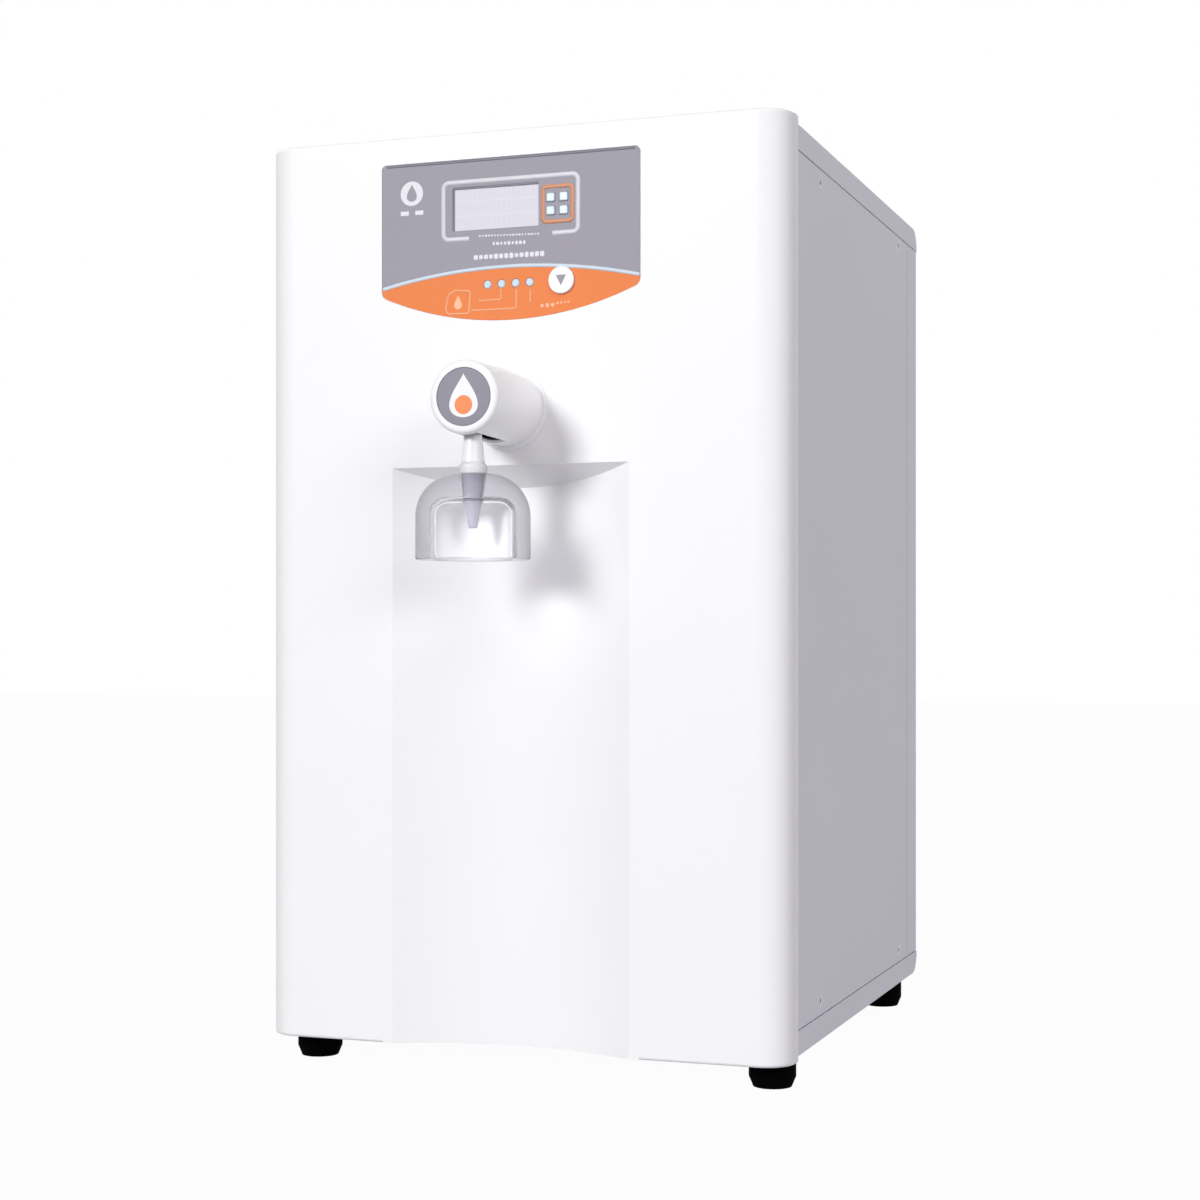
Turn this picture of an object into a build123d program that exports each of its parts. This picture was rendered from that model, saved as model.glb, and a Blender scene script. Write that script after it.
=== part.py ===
# A bench-top laboratory water purifier: a moulded front with a dished bottle bay and a lever tap,
# on a sheet-metal cabinet that holds the cartridges, the membrane, the pump and the controls.
# +X is the user's right, +Y is the back, +Z is up. The feet stand on Z = 0.
from build123d import *
import math
import os

os.makedirs("parts", exist_ok=True)

# Moulded front
fascia_width = 335.0
fascia_height = 550.0
fascia_wall = 3.0
fascia_corner_radius = 19.0
fascia_edge_radius = 2.0
fascia_boss_radius = 5.0
fascia_boss_inset = 22.0
niche_depth = 18.0
niche_half_width = 75.8
niche_drop = 200.5
niche_roof_angle = 35.0
niche_rear_room = 1.0
niche_cut_room = 30.0
feature_x = -4.5

# Cabinet
cabinet_height = 541.0
cabinet_lift = 3.5
side_step = 0.8
sheet = 1.5
seam = 0.6
rear_radius = 14.0
rear_return = 33.0
rear_bend_radius = 3.0
rear_angle = 16.0
rear_screw_inset = 10.0
rear_screw_margin = 12.0
cover_lip = 0.5
panel_gap = 0.8
frame_rail = 36.0
frame_post = 20.0
board_opening_margin = 10.0
niche_opening_share = 0.75
niche_opening_corner = 12.0
stem_room = 3.0

# Feet
foot_drop = 17.0
foot_radius = 14.0
foot_toe_radius = 11.5
foot_land = 6.0
foot_side_inset = 19.5
front_foot_inset = 14.5
rear_foot_inset = 34.0
foot_screw_radius = 2.0
foot_screw_head_radius = 4.0
foot_screw_head = 3.0
foot_bush = 5.0
foot_bush_wall = 2.0
foot_screw_room = 0.5
foot_screw_proud = 1.0

# Control label
label_width = 165.5
label_top_gap = 16.5
label_side = 80.0
label_belly = 17.3
label_corner = 3.0
label_low_corner = 5.0
band_rise = 75.0
band_crown = 9.5
label_thickness = 0.6
label_recess = 0.2
label_clearance = 0.3
window_width = 54.0
window_height = 24.7
window_x = -7.7
window_drop = 30.2
window_lip = 2.0
window_clearance = 0.1
lamp_count = 4
lamp_pitch = 9.0
lamp_radius = 2.5
lamp_drop = 75.7
lamp_bevel = 0.6
lamp_proud = 0.2
lamp_flange = 0.6
lamp_flange_thickness = 1.2
key_size = 5.0
key_x = 31.2
key_pitch_x = 8.2
key_pitch_z = 7.9
key_proud = 0.9
key_corner = 0.7
key_flange = 6.8
key_flange_thickness = 0.8
button_radius = 8.0
button_x = 34.0
button_proud = 1.6
button_flange = 1.2
cap_bevel = 0.4
push_stem_radius = 1.6
push_stem_entry = 1.6
moving_clearance = 0.2
stop_gap = 0.05

# Control board behind the label
board_width = 150.0
board_height = 88.0
board_gap = 9.0
board_thickness = 1.6
board_boss_radius = 3.5
board_boss_floor = 2.0
board_hole_inset = 5.0
board_hole_clearance = 0.3
board_screw_radius = 1.4
board_screw_head_radius = 2.8
board_screw_length = 6.6
module_width = 60.0
module_height = 36.0
module_gap = 0.3
glass_margin = 1.0
glass_sink = 0.8
key_switch_size = 6.0
key_switch_height = 4.0
button_switch_size = 12.0
button_switch_height = 5.0
switch_floor = 1.0

# Tap
tap_drop = 167.0
head_length = 68.0
head_base_radius = 22.5
head_front_radius = 21.2
head_wall = 2.2
head_edge_radius = 2.5
head_flange_radius = 25.0
head_flange = 2.0
flange_bevel = 1.0
boss_length = 4.0
badge_radius = 16.6
badge_thickness = 0.8
badge_recess = 0.2
badge_clearance = 0.15
badge_bevel = 0.3
lever_reach = 54.0
pivot_rise = 4.0
pivot_radius = 2.0
pivot_clearance = 0.04
lever_hub_radius = 6.0
lever_hub_length = 13.6
lever_side_play = 0.3
lever_arm_width = 12.0
lever_arm_depth = 9.0
lever_arm_drop = 14.0
lever_swing = 10.0
neck_top_radius = 5.25
neck_low_radius = 6.75
neck_length = 15.0
spigot_step = 1.5
water_bore_radius = 1.6
water_bore_roof = 2.0
ear_thickness = 3.0
ear_top = 12.0
ear_shoulder = 10.0
ear_drop = 5.0
lug_depth = 8.0
pin_proud = 0.6
stem_radius = 9.0
stem_bore_radius = 5.0
stem_length = 12.0
nut_across_flats = 27.0
nut_thickness = 6.0
slot_margin = 1.2
slot_front = 4.5
slot_rear = 20.0
collar_radius = 8.2
collar_height = 6.5
bell_radius = 33.0
bell_height = 49.3
bell_shoulder = 24.5
bell_wall = 10.5
bell_roof = 14.8
bell_corner = 8.5
nozzle_length = 31.0
nozzle_radius = 8.0
nozzle_tip_radius = 2.4
switch_length = 26.0
switch_width = 10.3
switch_height = 10.0
switch_drop = 9.8
switch_gap = 11.0
shelf_thickness = 1.2
plunger_radius = 1.5
plunger_gap = 0.3
plunger_clearance = 0.1
plunger_bevel = 0.5
plunger_hold = 4.0
plunger_bore_depth = 8.0
leaf_thickness = 0.4
leaf_width = 3.4
leaf_lean = 2.0
leaf_top = 7.0
leaf_knee = 2.0
leaf_contact = 7.0
leaf_tail = 10.0
leaf_tail_lean = 1.2
leaf_tab = 8.0

# Rear connections
port_radius = 8.0
port_reach = 18.0
port_bore_radius = 3.25
port_bore_depth = 15.0
port_hex = 22.0
port_flange = 4.0
port_tail_radius = 6.0
port_tail = 16.0
port_pitch = 38.0
port_bevel = 1.0
port_hole_clearance = 0.2
port_nut_flats = 19.0
port_nut_thickness = 5.0
port_x = 62.0
port_z = 70.0
inlet_side_inset = 78.7
inlet_z = 62.0
inlet_flange_width = 50.0
inlet_flange_height = 28.0
inlet_flange = 2.5
inlet_corner = 4.0
inlet_body_depth = 22.0
inlet_wall = 1.8
inlet_hole_clearance = 0.2
socket_width = 24.4
socket_height = 16.4
socket_depth = 15.0
socket_chamfer = 3.5
pin_length = 11.0
pin_width = 2.0
pin_height = 4.0
pin_pitch = 7.0
pin_offset = 2.0
rocker_z = 112.0
rocker_width = 12.0
rocker_half_length = 9.0
rocker_swing = 20.0
rocker_sink = 2.0
rocker_hub_radius = 5.0
rocker_rise = 5.2
rocker_waist = 3.6
rocker_root = 2.5
rocker_trunnion_radius = 1.5
rocker_trunnion = 1.4
rocker_trunnion_clearance = 0.1
rocker_bearing_clearance = 0.05
rocker_side_play = 0.3
rocker_end_play = 1.8
rocker_frame_wall = 1.8
rocker_face = 1.8
rocker_face_rim_x = 1.2
rocker_face_rim_z = 2.2
rocker_face_corner = 2.0
rocker_body_depth = 16.0
rocker_floor = 3.8
rocker_hole_clearance = 0.2
fuse_side_inset = 42.7
fuse_radius = 7.0
fuse_rim = 1.5
fuse_rim_thickness = 2.0
fuse_body_step = 1.2
fuse_body_length = 24.0
fuse_cap_step = 1.5
fuse_cap_length = 5.0
fuse_slot_length = 7.0
fuse_slot_width = 1.2
fuse_slot_depth = 1.5
fuse_hole_clearance = 0.2
vent_width = 62.0
vent_slot = 3.2
vent_pitch = 9.0
vent_rows = 9
vent_x = 70.0
vent_z = 440.0

# Water and electrical pieces inside
cartridge_radius = 35.0
cartridge_height = 290.0
cartridge_cap_radius = 38.0
cartridge_cap = 34.0
cartridge_pitch = 80.0
cartridge_x = 78.0
cartridge_start = 16.0
cartridge_end = 19.4
cartridge_count = 4
cap_port_x = 16.0
cap_port_radius = 7.0
cap_step = 8.0
cap_slope = 14.0
cartridge_foot = 12.0
rack_clearance = 0.6
rack_sheet = 2.0
rack_flange = 40.0
rack_margin = 4.0
cap_port_height = 12.0
rack_z = 400.0
plate_x = -12.0
housing_x = -52.0
membrane_radius = 30.0
membrane_length = 330.0
uv_radius = 24.0
uv_length = 300.0
housing_cap_step = 3.0
housing_nipple = 10.0
membrane_cap = 26.0
uv_cap = 18.0
housing_lift = 150.0
membrane_inset = 70.0
housing_pitch = 78.0
clip_height = 18.0
clip_wall = 2.5
clip_clearance = 0.1
clip_foot = 16.0
clip_open_share = 0.8
clip_low = 60.0
clip_high = 230.0
plate_front_inset = 20.0
plate_rear_inset = 14.0
plate_foot = 18.0
tube_radius = 3.175
tube_bend = 9.0
hose_bend = 7.0
tube_rise = 24.0
front_gap = 8.0
screw_radius = 2.0
screw_head_radius = 4.0
screw_head = 1.2
screw_length = 8.0
screw_head_clearance = 0.1
side_screw_front = 56.6
side_screw_rear = 64.1
side_screw_top_front = 23.0
side_screw_top_rear = 21.0
side_screw_low_front = 24.0
side_screw_low_rear = 23.5
cross_length = 4.2
cross_width = 0.8
cross_depth = 0.6
pan_head_share = 0.55
bore_past = 1.0
pump_side_inset = 71.7
pump_inset = 60.0
pump_rise = 48.0
pump_head = 72.0
pump_head_corner = 6.0
pump_head_length = 44.0
pump_motor_radius = 33.0
pump_motor_length = 100.0
pump_end_radius = 12.0
pump_end = 8.0
pump_port_x = 20.0
pump_port_rise = 16.0
pump_nipple = 14.0
pump_strap_radius = 36.0
pump_strap = 24.0
pump_strap_inset = 12.0
pump_leg_width = 60.0
pump_foot_width = 90.0
pump_foot = 3.0
pump_block = 30.0
pump_block_inset = 40.0
supply_rise = 330.0
supply_inset = 34.0
supply_length = 110.0
supply_height = 150.0
supply_depth = 42.0
supply_groove_pitch = 14.0
supply_groove_width = 4.0
supply_groove_height = 90.0
supply_groove_depth = 1.0
supply_grooves = 6
power_board_rise = 190.0
power_board_height = 120.0
board_stand = 6.0
board_stand_radius = 3.0
board_stand_inset = 6.0
board_parts_height = 14.0
valve_block = 34.0
valve_length = 40.0
valve_height = 24.0
valve_coil = 14.0
valve_coil_height = 30.0
valve_nipple = 8.0
valve_inset = 34.0
valve_rise = 120.0
valve_foot_step = 4.0
feed_valve_inset = 110.0

# Places worked out from the sizes above
fascia_depth = niche_depth + fascia_wall + niche_rear_room
bell_front = lever_reach + bell_radius
rack_depth = cartridge_pitch * (cartridge_count - 1) + 2 * cartridge_cap_radius
cabinet_depth = cartridge_start + rack_depth + cartridge_end
overall_depth = bell_front + fascia_depth + seam + cabinet_depth + port_reach
front_y = bell_front - overall_depth / 2
fascia_bottom = foot_drop
fascia_top = fascia_bottom + fascia_height
cabinet_front = front_y + fascia_depth + seam
cabinet_rear = cabinet_front + cabinet_depth
cabinet_bottom = fascia_bottom + cabinet_lift
cabinet_top = cabinet_bottom + cabinet_height
cabinet_half = fascia_width / 2 - side_step
foot_x = fascia_width / 2 - foot_side_inset
pump_x = pump_side_inset - cabinet_half
inlet_x = inlet_side_inset - cabinet_half
rocker_x = inlet_x
fuse_x = fuse_side_inset - cabinet_half
cover_height = rear_radius + cover_lip
floor_z = cabinet_bottom + sheet
ceiling_z = cabinet_top - sheet
frame_outer_x = cabinet_half - sheet
panel_bottom = cabinet_bottom + cover_height + panel_gap
panel_top = cabinet_top - cover_height - panel_gap
niche_radius = (niche_half_width**2 + niche_depth**2) / (2 * niche_depth)
niche_axis_y = front_y + niche_depth - niche_radius
niche_top = fascia_height - niche_drop
niche_roof_z = fascia_bottom + niche_top
label_top = fascia_top - label_top_gap
label_floor_y = front_y + label_recess + label_thickness
window_z = label_top - window_drop
lamp_z = label_top - lamp_drop
inner_face_y = front_y + fascia_wall
board_y = inner_face_y + board_gap
board_z = label_top - (label_side + label_belly) / 2
tap_z = fascia_top - tap_drop
tap_y = front_y - lever_reach
pivot_z = tap_z + pivot_rise
head_front_y = front_y - head_length
tap_axis = Axis((feature_x, 0, tap_z), (0, 1, 0))
lever_axis = Axis((feature_x, tap_y, 0), (0, 0, 1))


def facing_front(y):
    """A sketch plane at depth y: its first axis is X, its second Z, and it looks at the user."""
    return Plane.XZ.offset(-y)


def facing_right(x):
    """A sketch plane at width x: its first axis is Y, its second Z."""
    return Plane.YZ.offset(x)


def level(z):
    """A level sketch plane at height z."""
    return Plane.XY.offset(z)


def save(part, name):
    part.label = name
    export_step(part, f"parts/{name}.step")


def niche_form(grow, front_room):
    """The dished bay as a solid: an upright cylinder under a roof that falls towards the back."""
    fall = math.tan(math.radians(niche_roof_angle))
    lift = grow / math.cos(math.radians(niche_roof_angle))
    back = fascia_depth
    with BuildPart() as form:
        with BuildSketch(level(fascia_bottom - front_room)):
            with Locations((feature_x, niche_axis_y)):
                Circle(niche_radius + grow)
        extrude(amount=fascia_height)
        with BuildSketch(facing_right(0)):
            with BuildLine():
                Polyline(
                    (front_y - front_room, fascia_bottom - front_room),
                    (front_y + back, fascia_bottom - front_room),
                    (front_y + back, niche_roof_z + lift - back * fall),
                    (front_y - front_room, niche_roof_z + lift + front_room * fall),
                    close=True,
                )
            make_face()
        extrude(amount=fascia_width, both=True, mode=Mode.INTERSECT)
    return form.part


def label_face(grow):
    """The whole control label: straight top and sides, bellied lower edge."""
    half = label_width / 2 + grow
    top = label_top + grow
    shoulder = label_top - label_side - grow / 2
    with BuildSketch() as face:
        with BuildLine():
            Polyline((feature_x - half, shoulder), (feature_x - half, top), (feature_x + half, top),
                     (feature_x + half, shoulder))
            ThreePointArc((feature_x + half, shoulder),
                          (feature_x, label_top - label_side - label_belly - grow),
                          (feature_x - half, shoulder))
        make_face()
        fillet(face.vertices().group_by(Axis.Y)[-1], radius=label_corner + grow)
        fillet(face.vertices().filter_by_position(Axis.Y, shoulder - 0.01, shoulder + 0.01),
               radius=label_low_corner + grow)
    return face.sketch


def band_face():
    """All of the label below the curved line where the grey field ends and the band starts."""
    ends = label_top - band_rise
    low = label_top - label_side - label_belly - label_clearance
    half = label_width
    crown_radius = ((label_width / 2) ** 2 + band_crown**2) / (2 * band_crown)
    with BuildSketch() as face:
        with Locations((feature_x, ends + band_crown - crown_radius)):
            Circle(crown_radius)
        with Locations((feature_x, low)):
            Rectangle(2 * half, 2 * (ends + band_crown - low), mode=Mode.INTERSECT)
    return face.sketch


def lamp_places():
    first = feature_x - lamp_pitch * (lamp_count - 1) / 2
    return [(first + lamp_pitch * i, lamp_z) for i in range(lamp_count)]


def key_places():
    """Upper left, upper right, lower left and lower right."""
    return [
        (feature_x + key_x + sx * key_pitch_x / 2, window_z + sz * key_pitch_z / 2)
        for sz in (1, -1)
        for sx in (-1, 1)
    ]


# Front fascia, the moulded housing: a shell with the dished bay, its roof, the label recess and bosses
niche_liner = niche_form(fascia_wall, 0)
niche_void = niche_form(0, niche_cut_room)
label_pocket = label_face(label_clearance)
fascia_boss_x = fascia_width / 2 - fascia_boss_inset
fascia_boss_rows = (0.1, 0.5, 0.9)
fascia_boss_places = [
    (side * fascia_boss_x, fascia_bottom + share * fascia_height)
    for side in (-1, 1)
    for share in fascia_boss_rows
]
board_boss_places = [
    (feature_x + sx * (board_width / 2 - board_hole_inset),
     board_z + sz * (board_height / 2 - board_hole_inset))
    for sx in (-1, 1)
    for sz in (-1, 1)
]
with BuildPart() as front_fascia:
    with BuildSketch(level(fascia_bottom)):
        with Locations((0, front_y + fascia_depth / 2)):
            Rectangle(fascia_width, fascia_depth)
    extrude(amount=fascia_height)
    fillet(front_fascia.edges().filter_by(Axis.Z).group_by(Axis.Y)[0], radius=fascia_corner_radius)
    top_rim = front_fascia.faces().sort_by(Axis.Z)[-1].edges().sort_by(Axis.Y)[:-1]
    low_rim = front_fascia.faces().sort_by(Axis.Z)[0].edges().sort_by(Axis.Y)[:-1]
    fillet(top_rim + low_rim, radius=fascia_edge_radius)
    with BuildSketch(level(fascia_bottom + fascia_wall)) as hollow:
        with Locations((0, inner_face_y + fascia_depth / 2)):
            Rectangle(fascia_width - 2 * fascia_wall, fascia_depth)
        fillet(hollow.vertices().group_by(Axis.Y)[0], radius=fascia_corner_radius - fascia_wall)
    extrude(amount=fascia_height - 2 * fascia_wall, mode=Mode.SUBTRACT)
    add(niche_liner)
    add(niche_void, mode=Mode.SUBTRACT)
    with BuildSketch(facing_front(inner_face_y)):
        with Locations(*fascia_boss_places):
            Circle(fascia_boss_radius)
    extrude(amount=-(cabinet_front - inner_face_y))
    with BuildSketch(facing_front(inner_face_y)):
        with Locations(*board_boss_places):
            Circle(board_boss_radius)
    extrude(amount=-board_gap)
    with BuildSketch(facing_front(cabinet_front)):
        with Locations(*fascia_boss_places):
            Circle(screw_radius)
    extrude(amount=screw_length, mode=Mode.SUBTRACT)
    with BuildSketch(facing_front(board_y)):
        with Locations(*board_boss_places):
            Circle(board_screw_radius)
    extrude(amount=board_gap - board_boss_floor, mode=Mode.SUBTRACT)
    with BuildSketch(facing_front(label_floor_y)):
        add(label_pocket)
    extrude(amount=label_floor_y - front_y, mode=Mode.SUBTRACT)
    with BuildSketch(facing_front(inner_face_y)):
        with Locations((feature_x + window_x, window_z)):
            Rectangle(window_width - 2 * window_lip, window_height - 2 * window_lip)
        with Locations(*key_places()):
            Rectangle(key_size + 2 * moving_clearance, key_size + 2 * moving_clearance)
        with Locations(*lamp_places()):
            Circle(lamp_radius + moving_clearance)
        with Locations((feature_x + button_x, lamp_z)):
            Circle(button_radius + moving_clearance)
        with Locations((feature_x, tap_z)):
            Circle(stem_radius + moving_clearance)
    extrude(amount=fascia_wall, mode=Mode.SUBTRACT)
save(front_fascia.part, "front_fascia")

# Control label: the grey field and the coloured band
whole_label = label_face(0)
band = band_face()
with BuildPart() as display_overlay:
    with BuildSketch(facing_front(label_floor_y)):
        add(whole_label)
        add(band, mode=Mode.SUBTRACT)
        with Locations((feature_x + window_x, window_z)):
            Rectangle(window_width, window_height, mode=Mode.SUBTRACT)
        with Locations(*key_places()):
            Rectangle(key_size + 2 * moving_clearance, key_size + 2 * moving_clearance, mode=Mode.SUBTRACT)
    extrude(amount=label_thickness)
save(display_overlay.part, "display_overlay")

with BuildPart() as indicator_overlay:
    with BuildSketch(facing_front(label_floor_y)):
        add(whole_label)
        add(band, mode=Mode.INTERSECT)
        with Locations(*lamp_places()):
            Circle(lamp_radius + moving_clearance, mode=Mode.SUBTRACT)
        with Locations((feature_x + button_x, lamp_z)):
            Circle(button_radius + moving_clearance, mode=Mode.SUBTRACT)
    extrude(amount=label_thickness)
save(indicator_overlay.part, "indicator_overlay")

with BuildPart() as display_window:
    with BuildSketch(facing_front(label_floor_y)):
        with Locations((feature_x + window_x, window_z)):
            Rectangle(window_width - 2 * window_clearance, window_height - 2 * window_clearance)
    extrude(amount=label_thickness)
save(display_window.part, "display_window")

# Display module, with a bezel round a sunken glass
with BuildPart() as display_module:
    with BuildSketch(facing_front(board_y)):
        with Locations((feature_x + window_x, window_z)):
            Rectangle(module_width, module_height)
    extrude(amount=board_gap - module_gap)
    with BuildSketch(facing_front(inner_face_y + module_gap)):
        with Locations((feature_x + window_x, window_z)):
            Rectangle(window_width + 2 * glass_margin, window_height + 2 * glass_margin)
    extrude(amount=-glass_sink, mode=Mode.SUBTRACT)
save(display_module.part, "display_module")


def push_piece(name, x, z, size, proud, flange, switch_height, square):
    """A key or button: a cap through the front, a flange behind it and a stem into its switch."""
    flange_front = inner_face_y + stop_gap
    flange_rear = flange_front + key_flange_thickness
    stem_end = board_y - switch_height + push_stem_entry
    with BuildPart() as piece:
        with BuildSketch(facing_front(flange_front)):
            with Locations((x, z)):
                if square:
                    RectangleRounded(size, size, key_corner)
                else:
                    Circle(size / 2)
        extrude(amount=flange_front - (front_y - proud))
        chamfer(piece.faces().sort_by(Axis.Y)[0].edges(), length=cap_bevel)
        with BuildSketch(facing_front(flange_rear)):
            with Locations((x, z)):
                if square:
                    Rectangle(flange, flange)
                else:
                    Circle(flange / 2)
        extrude(amount=key_flange_thickness)
        with BuildSketch(facing_front(stem_end)):
            with Locations((x, z)):
                Circle(push_stem_radius)
        extrude(amount=stem_end - flange_rear)
    save(piece.part, name)
    return piece.part


key_names = ("key_upper_left", "key_upper_right", "key_lower_left", "key_lower_right")
for key_name, (x, z) in zip(key_names, key_places()):
    push_piece(key_name, x, z, key_size, key_proud, key_flange, key_switch_height, True)
push_piece("dispense_button", feature_x + button_x, lamp_z, 2 * button_radius, button_proud,
           2 * (button_radius + button_flange), button_switch_height, False)

with BuildPart() as board_switches:
    with BuildSketch(facing_front(board_y)):
        with Locations(*key_places()):
            Rectangle(key_switch_size, key_switch_size)
    extrude(amount=key_switch_height)
    with BuildSketch(facing_front(board_y)):
        with Locations((feature_x + button_x, lamp_z)):
            Rectangle(button_switch_size, button_switch_size)
    extrude(amount=button_switch_height)
    with BuildSketch(facing_front(board_y - switch_floor)):
        with Locations(*key_places(), (feature_x + button_x, lamp_z)):
            Circle(push_stem_radius + moving_clearance)
    extrude(amount=board_gap, mode=Mode.SUBTRACT)
save(board_switches.part, "board_switches")

# Indicator lamps: a bevelled lens on a flange that stands on the board
with BuildPart() as indicator_lamps:
    with BuildSketch(facing_front(board_y)):
        with Locations(*lamp_places()):
            Circle(lamp_radius)
    extrude(amount=board_y - front_y + lamp_proud)
    chamfer(indicator_lamps.faces().group_by(Axis.Y)[0].edges(), length=lamp_bevel)
    with BuildSketch(facing_front(board_y)):
        with Locations(*lamp_places()):
            Circle(lamp_radius + lamp_flange)
    extrude(amount=lamp_flange_thickness)
save(indicator_lamps.part, "indicator_lamps")

with BuildPart() as control_board:
    with BuildSketch(facing_front(board_y + board_thickness)):
        with Locations((feature_x, board_z)):
            Rectangle(board_width, board_height)
        with Locations(*board_boss_places):
            Circle(board_screw_radius + board_hole_clearance, mode=Mode.SUBTRACT)
    extrude(amount=board_thickness)
save(control_board.part, "control_board")

# Tap base: flange, clevis ears, switch shelf and threaded stem
boss_radius = head_base_radius - head_wall - moving_clearance
base_front_y = front_y - head_flange - boss_length
ear_inner_x = lever_hub_length / 2 + lever_side_play
ear_outer_x = ear_inner_x + ear_thickness
shelf_z = tap_z - switch_drop - switch_height / 2
switch_front_y = tap_y + lever_arm_depth / 2 + switch_gap
with BuildPart() as tap_base:
    with BuildSketch(facing_front(front_y)):
        with Locations((feature_x, tap_z)):
            Circle(head_flange_radius)
    extrude(amount=head_flange)
    chamfer(tap_base.faces().sort_by(Axis.Y)[0].edges(), length=flange_bevel)
    with BuildSketch(facing_front(front_y - head_flange)):
        with Locations((feature_x, tap_z)):
            Circle(boss_radius)
    extrude(amount=boss_length)
    for side in (-1, 1):
        with BuildSketch(facing_right(feature_x + side * (ear_inner_x + ear_thickness / 2))):
            with BuildLine():
                Polyline(
                    (base_front_y, shelf_z - shelf_thickness),
                    (base_front_y, tap_z + ear_shoulder),
                    (tap_y, tap_z + ear_top),
                    (tap_y - lug_depth, tap_z + ear_shoulder),
                    (tap_y - lug_depth, tap_z - ear_drop),
                    (tap_y + lug_depth, tap_z - ear_drop),
                    (switch_front_y, shelf_z - shelf_thickness),
                    close=True,
                )
            make_face()
        extrude(amount=ear_thickness / 2, both=True)
    with BuildSketch(level(shelf_z)):
        with Locations((feature_x, (base_front_y + switch_front_y) / 2)):
            Rectangle(2 * ear_inner_x, base_front_y - switch_front_y)
    extrude(amount=-shelf_thickness)
    with BuildSketch(facing_front(front_y)):
        with Locations((feature_x, tap_z)):
            Circle(stem_radius)
    extrude(amount=-(fascia_wall + stem_length))
    with BuildSketch(facing_front(front_y + fascia_wall + stem_length)):
        with Locations((feature_x, tap_z)):
            Circle(stem_bore_radius)
    extrude(amount=fascia_wall + stem_length + head_flange + boss_length, mode=Mode.SUBTRACT)
    with BuildSketch(facing_right(feature_x)):
        with Locations((tap_y, pivot_z)):
            Circle(pivot_radius + pivot_clearance)
    extrude(amount=ear_outer_x + bore_past, both=True, mode=Mode.SUBTRACT)
save(tap_base.part, "tap_base")

with BuildPart() as tap_lock_nut:
    with BuildSketch(facing_front(inner_face_y)):
        with Locations((feature_x, tap_z)):
            RegularPolygon(nut_across_flats / 2, 6, major_radius=False)
            Circle(stem_radius, mode=Mode.SUBTRACT)
    extrude(amount=-nut_thickness)
save(tap_lock_nut.part, "tap_lock_nut")

with BuildPart() as lever_pivot_pin:
    with BuildSketch(facing_right(feature_x)):
        with Locations((tap_y, pivot_z)):
            Circle(pivot_radius)
    extrude(amount=ear_outer_x + pin_proud, both=True)
save(lever_pivot_pin.part, "lever_pivot_pin")

# Tap head: a tapered barrel, closed in front, with the lever's slot in its underside
slot_front_y = head_front_y + slot_front
slot_rear_y = front_y - slot_rear
with BuildPart() as tap_head:
    with BuildSketch(facing_right(feature_x)) as head_profile:
        with BuildLine():
            Polyline(
                (front_y - head_flange, tap_z),
                (front_y - head_flange, tap_z + head_base_radius),
                (head_front_y, tap_z + head_front_radius),
                (head_front_y, tap_z),
                close=True,
            )
        make_face()
        fillet(head_profile.vertices().sort_by(Axis.X)[:2].sort_by(Axis.Y)[-1], radius=head_edge_radius)
    revolve(axis=tap_axis)
    with BuildSketch(facing_right(feature_x)):
        with BuildLine():
            Polyline(
                (front_y - head_flange, tap_z),
                (front_y - head_flange, tap_z + head_base_radius - head_wall),
                (head_front_y + head_wall + badge_thickness, tap_z + head_front_radius - head_wall),
                (head_front_y + head_wall + badge_thickness, tap_z),
                close=True,
            )
        make_face()
    revolve(axis=tap_axis, mode=Mode.SUBTRACT)
    with BuildSketch(facing_front(head_front_y + badge_thickness + badge_recess)):
        with Locations((feature_x, tap_z)):
            Circle(badge_radius + badge_clearance)
    extrude(amount=badge_thickness + badge_recess, mode=Mode.SUBTRACT)
    with BuildSketch(level(tap_z)):
        with Locations((feature_x, (slot_front_y + slot_rear_y) / 2)):
            Rectangle(2 * (neck_top_radius + slot_margin), slot_rear_y - slot_front_y)
    extrude(amount=-(head_base_radius + bore_past), mode=Mode.SUBTRACT)
save(tap_head.part, "tap_head")

with BuildPart() as tap_badge:
    with BuildSketch(facing_front(head_front_y + badge_thickness + badge_recess)):
        with Locations((feature_x, tap_z)):
            Circle(badge_radius)
    extrude(amount=badge_thickness)
    chamfer(tap_badge.faces().sort_by(Axis.Y)[0].edges(), length=badge_bevel)
save(tap_badge.part, "tap_badge")

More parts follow.
